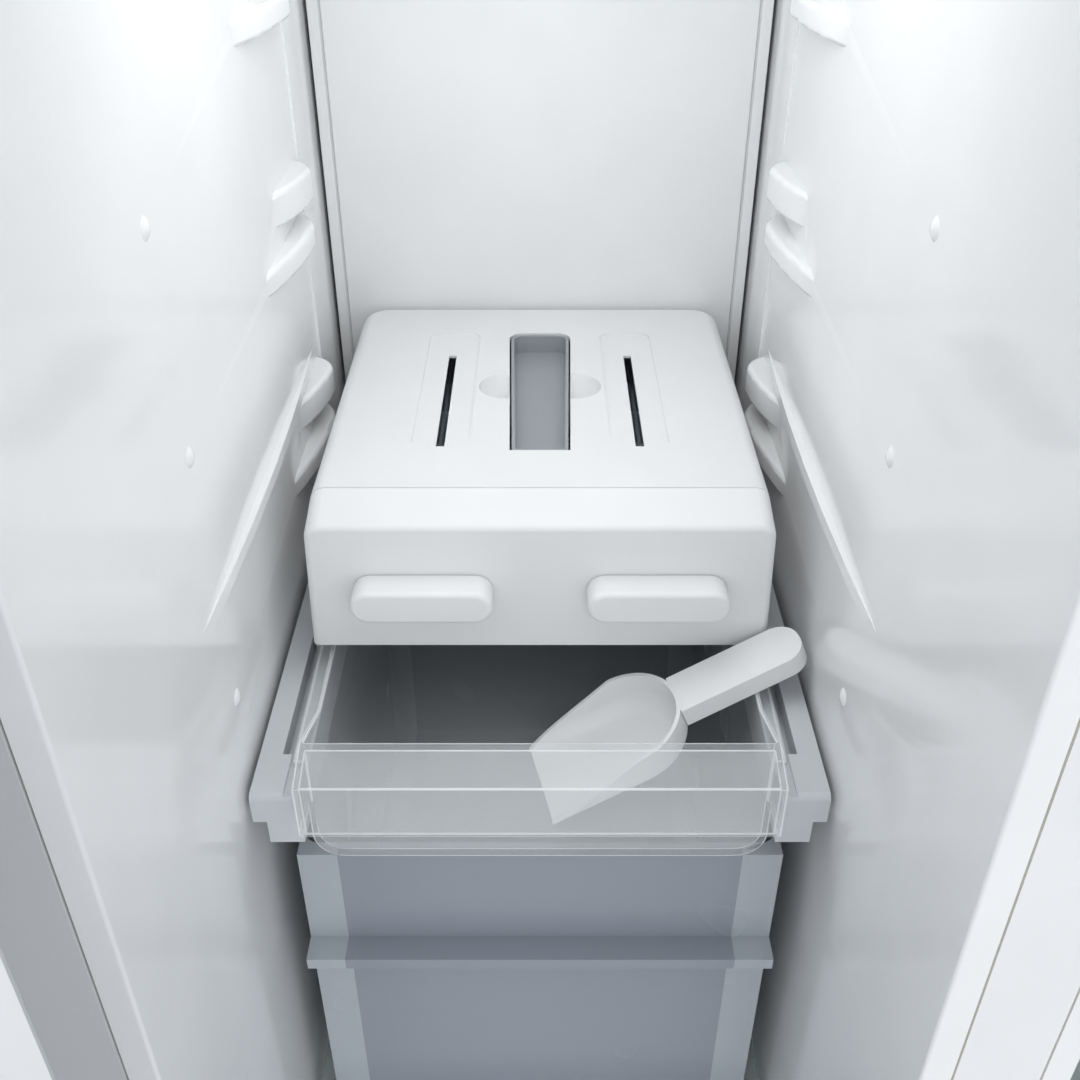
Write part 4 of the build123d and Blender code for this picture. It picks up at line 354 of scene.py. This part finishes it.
# Rim veils: on styrene a whiter, denser veil, a painted highlight along the edges; on glass the green of
# glass seen edge-on.
rim_tints_and_painted_highlights = {
    "clear_plastic": veil("clear_styrene_painted_highlight_rim", (0.95, 0.965, 0.975), 0.12, 0.75, 0.95),
    "shelf_glass": veil("glass_rim", (0.45, 0.72, 0.66), 0.08, 0.6, 0.9),
}
print("see-through finishes made")

# %% [markdown]
# ## Smoky drawers with painted shade
# The freezer drawers are moulded in one grey, but the front's middle is a thinner window that lets the
# dark inside through, between thicker and paler side bands. The drawer is opaque, so the window's darker
# colour is painted shade: the plastic's smoky grey with the shade of the drawer's inside painted in. The
# bands could be separate meshes. They are painted by place instead: the colour steps where X leaves the
# middle of the drawer by more than the window's half width.

# %% Drawer finish
WINDOW_SIDE_BAND = 22 * MM
DRAWER_GLOSS_SIZE = 60 * MM
DRAWER_GLOSS_SHARES = (0.94, 1.06)
DRAWER_GRAIN_SIZE = 0.9 * MM
DRAWER_GRAIN = 0.006 * MM
drawer_low, drawer_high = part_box("upper_freezer_drawer")


def windowed(name, window_colour_with_painted_shade, band_colour, rough, half_window):
    """Grey moulding: the window's colour where |x - middle| is under half_window, else the band's.
    The window's colour holds painted shade, the dark inside that a thin smoky front would show.
    """
    finish = Finish(name, window_colour_with_painted_shade, rough)
    across = finish.nodes.new("ShaderNodeSeparateXYZ")
    finish.links.new(finish.place, across.inputs["Vector"])
    inside = finish.nodes.new("ShaderNodeMath")
    inside.operation = "COMPARE"
    inside.inputs[1].default_value = (drawer_low.x + drawer_high.x) / 2
    inside.inputs[2].default_value = half_window
    finish.links.new(across.outputs["X"], inside.inputs[0])
    finish.colour_between(inside.outputs["Value"], band_colour, window_colour_with_painted_shade, 0.0, 1.0)
    finish.glossed(finish.noise(DRAWER_GLOSS_SIZE, detail=1.0), *DRAWER_GLOSS_SHARES)
    finish.raised(finish.noise(DRAWER_GRAIN_SIZE), DRAWER_GRAIN)
    return finish.material


half_window = (drawer_high.x - drawer_low.x) / 2 - WINDOW_SIDE_BAND
# The first colour is the window: smoky grey with the painted shade of the drawer's inside.
finishes["drawer_grey"] = windowed(
    "smoky_drawer_with_painted_shade", (0.30, 0.33, 0.38), (0.45, 0.49, 0.53), 0.26, half_window
)
print("drawer window half width", round(half_window, 4))

# %% [markdown]
# ## Metals, paint, rubber and foam
# The doors are steel brushed upright, so a noise drawn out along Z gives both the streaks and the
# gloss across them. The case is painted with the faint orange peel of a sprayed coat. Zinc coated
# sheet shows its crystals as cells, and foam shows its bubbles as cells too.

# %% Metal, paint, rubber and foam finishes
UPRIGHT = (1, 1, 160)
DOOR_STREAK = 0.35 * MM
HANDLE_STREAK = 0.2 * MM
STREAK_RELIEF = 0.012 * MM
PAINT_CLOUD_SIZE = 200 * MM
PAINT_GLOSS_SIZE = 50 * MM
PEEL_SIZE = 2.2 * MM
PEEL_RELIEF = 0.02 * MM
SPANGLE_SIZE = 11 * MM
SPANGLE_GLOSS_SIZE = 7 * MM
SPANGLE_SPAN = (0.1, 0.7)
ZINC_SKIN_SIZE = 1.5 * MM
ZINC_SKIN_RELIEF = 0.01 * MM
BLOOM_SIZE = 20 * MM
RUBBER_SKIN_SIZE = 0.8 * MM
RUBBER_SKIN_RELIEF = 0.02 * MM
FOAM_CLOUD_SIZE = 40 * MM
FOAM_ROUGH = 0.85
BUBBLE_SIZE = 1.8 * MM
BUBBLE_RELIEF = 0.4 * MM


def brushed(name, colour, rough, streak=DOOR_STREAK):
    """Metal with fine streaks along Z that vary its colour, gloss and relief."""
    finish = Finish(name, colour, rough, Metallic=1.0, Anisotropic=0.5)
    streaks = finish.noise(streak, UPRIGHT, detail=4.0)
    finish.shaded(streaks, 0.93, 1.05)
    finish.glossed(streaks, 0.8, 1.25)
    finish.raised(streaks, STREAK_RELIEF)
    return finish.material


def painted(name, colour, rough):
    """Sprayed paint: the faint dimples of orange peel under a clear gloss."""
    finish = Finish(name, colour, rough, Coat_Weight=0.25, Coat_Roughness=0.12)
    finish.shaded(finish.noise(PAINT_CLOUD_SIZE), 0.97, 1.02)
    finish.glossed(finish.noise(PAINT_GLOSS_SIZE), 0.9, 1.12)
    finish.raised(finish.noise(PEEL_SIZE, detail=1.0), PEEL_RELIEF)
    return finish.material


def galvanised(name, colour, rough):
    """Zinc coated sheet: crystals about a centimetre across, each with its own shade."""
    finish = Finish(name, colour, rough, Metallic=1.0)
    finish.shaded(finish.cells(SPANGLE_SIZE), 0.94, 1.04, *SPANGLE_SPAN)
    finish.glossed(finish.cells(SPANGLE_GLOSS_SIZE), 0.8, 1.3, *SPANGLE_SPAN)
    finish.raised(finish.noise(ZINC_SKIN_SIZE), ZINC_SKIN_RELIEF)
    return finish.material


def rubbery(name, colour, rough):
    """Soft vinyl or rubber: matt, with a faint bloom and a fine skin."""
    finish = Finish(name, colour, rough, Sheen_Weight=0.15)
    finish.shaded(finish.noise(BLOOM_SIZE), 0.9, 1.1)
    finish.raised(finish.noise(RUBBER_SKIN_SIZE), RUBBER_SKIN_RELIEF)
    return finish.material


def foamed(name, colour):
    """Rigid foam: bubbles under two millimetres across, in a clouded straw yellow."""
    finish = Finish(name, colour, FOAM_ROUGH)
    finish.shaded(finish.noise(FOAM_CLOUD_SIZE), 0.85, 1.08)
    finish.raised(finish.cells(BUBBLE_SIZE), BUBBLE_RELIEF)
    return finish.material


finishes |= {
    "case_paint": painted("light_grey_case_paint", (0.64, 0.655, 0.67), 0.32),
    "machine_black": painted("black_enamel", (0.012, 0.012, 0.014), 0.3),
    "door_steel": brushed("brushed_door_steel", (0.60, 0.61, 0.625), 0.3),
    "handle_metal": brushed("satin_handle_aluminium", (0.72, 0.725, 0.735), 0.24, HANDLE_STREAK),
    "evaporator_metal": brushed("bare_fin_aluminium", (0.72, 0.74, 0.76), 0.34),
    "galvanised": galvanised("zinc_coated_sheet", (0.56, 0.58, 0.60), 0.4),
    "gasket_grey": rubbery("grey_vinyl", (0.42, 0.435, 0.45), 0.55),
    "mount_rubber": rubbery("black_rubber", (0.02, 0.02, 0.021), 0.7),
    "foam": foamed("insulating_foam", (0.78, 0.66, 0.36)),
}
slot_of = {row["node"]: row["material_slot"] for row in frame["record"]["subparts"]}
for node_name, node in frame["nodes"].items():
    node.data.materials.clear()
    node.data.materials.append(finishes[slot_of[node_name]])
print(len(finishes), "finishes on", len(slot_of), "nodes")

# %% [markdown]
# ## Rounded edges
# No moulded or pressed part has a knife edge: the small rounding is what catches the light. Most solids
# are crisp, so those that show get a twin with the same faces, merged and then bevelled. A bevel shader
# would only bend the light; a real bevel is there from every side and in every copy.

# %% Twins with rounded edges
EDGE_ANGLE = math.radians(28)
BEVEL_SEGMENTS = 3
MERGE_DISTANCE = 0.01 * MM
body_of_node = {name: node["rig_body"] for name, node in frame["nodes"].items()}


def twin_mesh(node_name):
    """A copy of a node's faces with its loose triangles joined along their shared edges."""
    source = frame["nodes"][node_name].data
    points = np.empty(len(source.vertices) * 3, np.float32)
    source.vertices.foreach_get("co", points)
    corners = np.empty(len(source.loops), np.int32)
    source.loops.foreach_get("vertex_index", corners)
    mesh = bpy.data.meshes.new(node_name + "_rounded")
    mesh.from_pydata(points.reshape(-1, 3), [], corners.reshape(-1, 3))
    work = bmesh.new()
    work.from_mesh(mesh)
    bmesh.ops.remove_doubles(work, verts=work.verts, dist=MERGE_DISTANCE)
    work.to_mesh(mesh)
    work.free()
    return mesh


def dressed(name, mesh, slot_name, body):
    """Makes a mesh into a smooth piece that takes a slot's finish and rides on a body."""
    mesh.materials.append(finishes[slot_name])
    mesh.shade_smooth()
    piece = bpy.data.objects.new(name, mesh)
    scene.collection.objects.link(piece)
    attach(piece, body)
    return piece


def rounded_twin(node_name, width):
    """Stands for a node with its sharp edges rounded to about width metres. Clear rims take a rim veil:
    a painted highlight on styrene, a deeper green on glass.
    """
    slot_name, body = slot_of[node_name], body_of_node[node_name]
    piece = dressed(node_name + "_rounded", twin_mesh(node_name), slot_name, body)
    bevel = piece.modifiers.new("rounded_edges", "BEVEL")
    bevel.width = width
    bevel.segments = BEVEL_SEGMENTS
    bevel.limit_method = "ANGLE"
    bevel.angle_limit = EDGE_ANGLE
    bevel.harden_normals = True
    bevel.miter_outer = "MITER_ARC"
    # Clear rims take their rim veil: on styrene this is a painted highlight.
    if slot_name in rim_tints_and_painted_highlights:
        piece.data.materials.append(rim_tints_and_painted_highlights[slot_name])
        bevel.material = 1
        bevel.use_clamp_overlap = False
    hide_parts(node_name)


# The width of the rounding, and the nodes that get it.
ROUNDED = {
    4.0 * MM: ("freezer_door_liner", "fridge_door_liner"),
    2.0 * MM: ("ice_shelf_frame", "shelf_trims"),
    1.4 * MM: ("water_trough", "freezer_door_handle", "fridge_door_handle", "hinge_covers"),
    1.1 * MM: ("ice_bin", "freezer_door_bins", "fridge_door_bins", "left_crisper", "right_crisper"),
    0.8 * MM: ("ice_maker_lid", "left_twist_knob", "right_twist_knob", "ice_scoop", "toe_grille",
               "upper_freezer_drawer", "middle_freezer_drawer", "lower_freezer_drawer",
               "fridge_air_duct", "evaporator_cover", "control_panel"),
    0.5 * MM: ("freezer_shelves", "fridge_shelves", "outer_case", "freezer_door_skin",
               "fridge_door_skin"),
}
for edge_width, names in ROUNDED.items():
    for node_name in names:
        rounded_twin(node_name, edge_width)
print("rounded twins:", sum(len(names) for names in ROUNDED.values()))

# %% [markdown]
# ## Forms that are round already
# The freezer's liner is drawn from one sheet, with plump ledges, keepers and ribs, and the ice maker's
# hood has wide moulded radii. Their solids hold those radii, so a bevel would only pinch the thin tips.
# These twins keep every face and take weighted normals: a flat stays flat, and a radius shades smoothly.

# %% Smooth twins
SMOOTH = ("freezer_liner", "ice_maker_housing", "machine_cover", "power_inlet")


def smooth_twin(node_name):
    """Stands for a node with its curved faces shaded smoothly and its sharp edges kept."""
    slot_name, body = slot_of[node_name], body_of_node[node_name]
    piece = dressed(node_name + "_smooth", twin_mesh(node_name), slot_name, body)
    piece.data.set_sharp_from_angle(angle=EDGE_ANGLE)
    flats = piece.modifiers.new("flat_faces_lead", "WEIGHTED_NORMAL")
    flats.keep_sharp = True
    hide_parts(node_name)


for node_name in SMOOTH:
    smooth_twin(node_name)
print("smooth twins:", ", ".join(SMOOTH))

# %% [markdown]
# ## Door gaskets
# Each door is sealed by a vinyl bellows with a magnet in its nose, welded at mitred corners. The solid
# is a plain frame. A curve with a bevel profile could follow the frame, but it would round the mitres.
# So the bellows profile is carried round a rectangle: every point of the profile makes its own
# rectangle, inset by its place across the band. It is worked out with the door closed, then swung open.

# %% Gaskets
BAND = 16 * MM
CORNER_CUTS = 2
CREASE_ANGLE = math.radians(40)
# Half of the bellows: each point's share of the way across the band, and of the way to the nose.
HALF_PROFILE = np.array([
    (0.20, 0.0), (0.12, 0.12), (0.30, 0.22), (0.04, 0.36), (0.0, 0.46), (0.14, 0.58), (0.05, 0.68),
    (0.03, 0.92), (0.12, 1.0), (0.32, 0.985),
])


def read_points(mesh):
    """The places of a mesh's points, one row each."""
    values = np.empty(len(mesh.vertices) * 3, np.float32)
    mesh.vertices.foreach_get("co", values)
    return values.reshape(-1, 3).astype(float)


def softened_loop(points, rounds):
    """Cuts the corners of a closed loop: each side keeps its points at a quarter and three quarters."""
    for _ in range(rounds):
        after = np.roll(points, -1, axis=0)
        near, far = 0.75 * points + 0.25 * after, 0.25 * points + 0.75 * after
        points = np.stack([near, far], 1).reshape(-1, 2)
    return points


def wrapped_quads(rows, columns):
    """Faces of a grid of rows by columns points that closes on itself both ways."""
    row, column = np.meshgrid(np.arange(rows), np.arange(columns), indexing="ij")
    next_row, next_column = (row + 1) % rows, (column + 1) % columns
    ends = [row * columns + column, next_row * columns + column]
    ends += [next_row * columns + next_column, row * columns + next_column]
    return np.stack(ends, axis=-1).reshape(-1, 4)


def swung(points, joint, degrees):
    """Turns points about an upright hinge: x and y are rotated about the joint's place."""
    turn = math.radians(degrees) * joint["axis"][2]
    offset = points - np.array(joint["pos_m"])
    x = offset[:, 0] * math.cos(turn) - offset[:, 1] * math.sin(turn)
    y = offset[:, 0] * math.sin(turn) + offset[:, 1] * math.cos(turn)
    return np.stack([x, y, offset[:, 2]], axis=1) + np.array(joint["pos_m"])


def mesh_of(name, points, faces):
    """A closed mesh from arrays, its faces turned outwards if they enclose a negative volume."""
    first, second, third, fourth = (points[faces[:, corner]] for corner in range(4))
    volume = np.einsum("ij,ij", first, np.cross(second, third) + np.cross(third, fourth))
    mesh = bpy.data.meshes.new(name)
    mesh.from_pydata(points, [], faces if volume > 0 else faces[:, ::-1])
    mesh.set_sharp_from_angle(angle=CREASE_ANGLE)
    return mesh


mirrored = HALF_PROFILE[::-1] * (-1, 1) + (1, 0)
profile = softened_loop(np.concatenate([HALF_PROFILE, mirrored]), CORNER_CUTS)
joint_rows = {row["name"]: row for row in frame["record"]["behaviour"]["joints"]}
for door in ("freezer_door", "fridge_door"):
    hinge = joint_rows[door + "_hinge"]
    closed = swung(read_points(frame["nodes"][door + "_gasket"].data), hinge, hinge["range_deg"][0])
    low, high = closed.min(axis=0), closed.max(axis=0)
    inset = profile[:, 0] * BAND
    depth = high[1] + (low[1] - high[1]) * (1 - profile[:, 1])
    left, right, bottom, top = low[0] + inset, high[0] - inset, low[2] + inset, high[2] - inset
    corners = [(left, bottom), (right, bottom), (right, top), (left, top)]
    rings = np.stack([np.stack([x, depth, z], axis=1) for x, z in corners])
    points = swung(rings.reshape(-1, 3), hinge, -hinge["range_deg"][0])
    mesh = mesh_of(door + "_bellows", points, wrapped_quads(len(corners), len(profile)))
    bellows = dressed(door + "_bellows", mesh, "gasket_grey", door)
    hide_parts(door + "_gasket")
    print(door, "bellows:", len(mesh.polygons), "faces, depth", round(float(high[1] - low[1]), 4))

# %% [markdown]
# ## Screws and buttons
# Small round parts are turned shapes: a radius and a height for each step from the crown to the foot,
# swept through a full turn. A screw adds a cross recess: its height drops near the two lines through the
# crown. They could be cut with booleans, but a height formula keeps them light and free of slivers.

# %% Turned parts
TURN_STEPS = 48
DOME_RINGS = 12
CROWN_ANGLE = 0.02
FOOT_RING = 0.02
ASLANT = (0.31, 0.2, 0.93)
CROSS_HALF_WIDTH = 0.16
CROSS_REACH = 0.55


def turned_points(place, outward, radii, heights, recess=0.0):
    """Rings of points round an axis: ring i has radius radii[i] and lies heights[i] out from the place.
    Near the two lines of a cross the heights drop by the recess. The cross is measured in shares of the
    head's radius, and lies as a direction aslant of every axis happens to turn it."""
    outward = np.array(outward, float)
    side = np.cross(outward, ASLANT)
    side /= np.linalg.norm(side)
    across = np.cross(outward, side)
    turn = np.linspace(0, 2 * math.pi, TURN_STEPS, endpoint=False)
    u = radii[:, None] * np.cos(turn)
    v = radii[:, None] * np.sin(turn)
    widest = radii.max()
    near_line = np.minimum(np.abs(u), np.abs(v)) < CROSS_HALF_WIDTH * widest
    near_crown = np.hypot(u, v) < CROSS_REACH * widest
    height = heights[:, None] - recess * (near_line & near_crown & (heights[:, None] > 0))
    local = u[..., None] * side + v[..., None] * across + height[..., None] * outward
    return (np.array(place) + local).reshape(-1, 3)


def turned_piece(name, places, outward, radius, height, slot_name, body, recess=0.0):
    """One piece of equal domes, one at each place: a quarter ellipse from crown to rim, a flat foot."""
    rise = np.linspace(CROWN_ANGLE, math.pi / 2, DOME_RINGS)
    radii = radius * np.concatenate([np.sin(rise), [1.0, FOOT_RING]])
    heights = height * np.concatenate([np.cos(rise), [0.0, 0.0]])
    ring_faces = wrapped_quads(len(radii), TURN_STEPS)
    groups = [turned_points(place, outward, radii, heights, recess) for place in places]
    shifts = np.arange(len(places)) * len(groups[0])
    faces = (ring_faces[None] + shifts[:, None, None]).reshape(-1, 4)
    dressed(name, mesh_of(name, np.concatenate(groups), faces), slot_name, body)


def inset_ends(low, high, inset):
    """The two places that lie inset inside the ends of a span."""
    return low + inset, high - inset


SCREW_RADIUS = 4.5 * MM
SCREW_HEIGHT = 1.8 * MM
SCREW_INSET = 9 * MM
SCREW_ROWS = 6
SCREW_RECESS = 1.1 * MM
SCREW_FOOT_MARGIN = 40 * MM
SCREW_HEAD_MARGIN = 30 * MM

panel_low, panel_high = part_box("back_panel")
machine_low, machine_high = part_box("machine_cover")
lowest_screw, highest_screw = panel_low.z + SCREW_FOOT_MARGIN, panel_high.z - SCREW_HEAD_MARGIN
edge_heights = np.linspace(lowest_screw, highest_screw, SCREW_ROWS)
back_places = [(x, panel_high.y, z) for x in inset_ends(panel_low.x, panel_high.x, SCREW_INSET)
               for z in edge_heights]
cover_places = [(x, machine_high.y, z) for x in inset_ends(machine_low.x, machine_high.x, SCREW_INSET)
                for z in inset_ends(machine_low.z, machine_high.z, SCREW_INSET)]
turned_piece("back_screws", back_places + cover_places, (0, 1, 0), SCREW_RADIUS, SCREW_HEIGHT,
             "galvanised", "cabinet", recess=SCREW_RECESS)

hinge_low, hinge_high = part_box("hinge_covers")
HINGE_SCREW_INSET = 26 * MM
hinge_middle = (hinge_low.y + hinge_high.y) / 2
hinge_places = [(x, hinge_middle, hinge_high.z)
                for x in inset_ends(hinge_low.x, hinge_high.x, HINGE_SCREW_INSET)]
turned_piece("hinge_cover_screws", hinge_places, (0, 0, 1), SCREW_RADIUS, SCREW_HEIGHT,
             "galvanised", "cabinet", recess=SCREW_RECESS)

control_low, control_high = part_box("control_panel")
CONTROL_BUTTONS = 5
BUTTON_RADIUS = 5 * MM
BUTTON_HEIGHT = 1.2 * MM
control_span = np.linspace(control_low.x, control_high.x, CONTROL_BUTTONS + 2)[1:-1]
control_middle = (control_low.z + control_high.z) / 2
button_places = [(x, control_low.y, control_middle) for x in control_span]
turned_piece("control_buttons", button_places, (0, -1, 0), BUTTON_RADIUS, BUTTON_HEIGHT,
             "trim_grey", "cabinet")
print("screws:", len(back_places) + len(cover_places) + len(hinge_places))

# %% [markdown]
# ## Pressed beads on the back
# A large thin sheet would drum, so the back panel has long beads pressed outwards. Each is a patch whose
# height is a bell across its width, fading at both ends, so it meets the sheet without a step.

# %% Back beads
BEADS = 5
BEAD_HALF_WIDTH = 13 * MM
BEAD_HEIGHT = 2.4 * MM
BEAD_SHEET = 0.4 * MM
BEAD_ROWS = 15
BEAD_COLUMNS = 61
BEAD_FOOT_SHARE = 0.10
BEAD_HEAD_SHARE = 0.08
BEAD_END_POWER = 8

across, along = np.linspace(-1, 1, BEAD_ROWS), np.linspace(-1, 1, BEAD_COLUMNS)
bead_u, bead_v = np.meshgrid(across, along, indexing="ij")
bell = (1 - bead_u**2) ** 2 * (1 - np.abs(bead_v) ** BEAD_END_POWER)
panel_height = panel_high.z - panel_low.z
bead_low = panel_low.z + BEAD_FOOT_SHARE * panel_height
bead_high = panel_high.z - BEAD_HEAD_SHARE * panel_height
row, column = np.meshgrid(np.arange(BEAD_ROWS - 1), np.arange(BEAD_COLUMNS - 1), indexing="ij")
bead_start = row * BEAD_COLUMNS + column
bead_next = bead_start + BEAD_COLUMNS
bead_faces = np.stack([bead_start, bead_start + 1, bead_next + 1, bead_next], -1).reshape(-1, 4)
bead_points, all_faces = [], []
for bead in range(BEADS):
    middle = panel_low.x + (bead + 0.5) / BEADS * (panel_high.x - panel_low.x)
    x = middle + BEAD_HALF_WIDTH * bead_u
    y = panel_high.y + BEAD_HEIGHT * bell
    z = (bead_low + bead_high) / 2 + bead_v * (bead_high - bead_low) / 2
    bead_points.append(np.stack([x, y, z], -1).reshape(-1, 3))
    all_faces.append(bead_faces + bead * bead_u.size)
bead_mesh = bpy.data.meshes.new("back_beads")
bead_mesh.from_pydata(np.concatenate(bead_points), [], np.concatenate(all_faces))
beads = dressed("back_beads", bead_mesh, slot_of["back_panel"], "cabinet")
sheet = beads.modifiers.new("sheet", "SOLIDIFY")
sheet.thickness = BEAD_SHEET
print("beads:", BEADS, "facing", [round(value) for value in bead_mesh.polygons[0].normal])

# %% [markdown]
# ## Floor
# A plain pale floor carries the appliance and its shadow. It is a stage and no part of the object.

# %% Floor
FLOOR_HALF = 6.0
FLOOR_GLOSS_SIZE = 0.4
floor_corners = FLOOR_HALF * np.array([(-1, -1, 0), (1, -1, 0), (1, 1, 0), (-1, 1, 0)])
floor_mesh = bpy.data.meshes.new("floor")
floor_mesh.from_pydata(floor_corners, [], [(0, 1, 2, 3)])
floor = bpy.data.objects.new("floor", floor_mesh)
floor_finish = Finish("pale_floor", (0.80, 0.81, 0.82), 0.6)
floor_finish.rough_between(floor_finish.noise(FLOOR_GLOSS_SIZE), 0.5, 0.7)
floor_mesh.materials.append(floor_finish.material)
scene.collection.objects.link(floor)
print("floor laid")
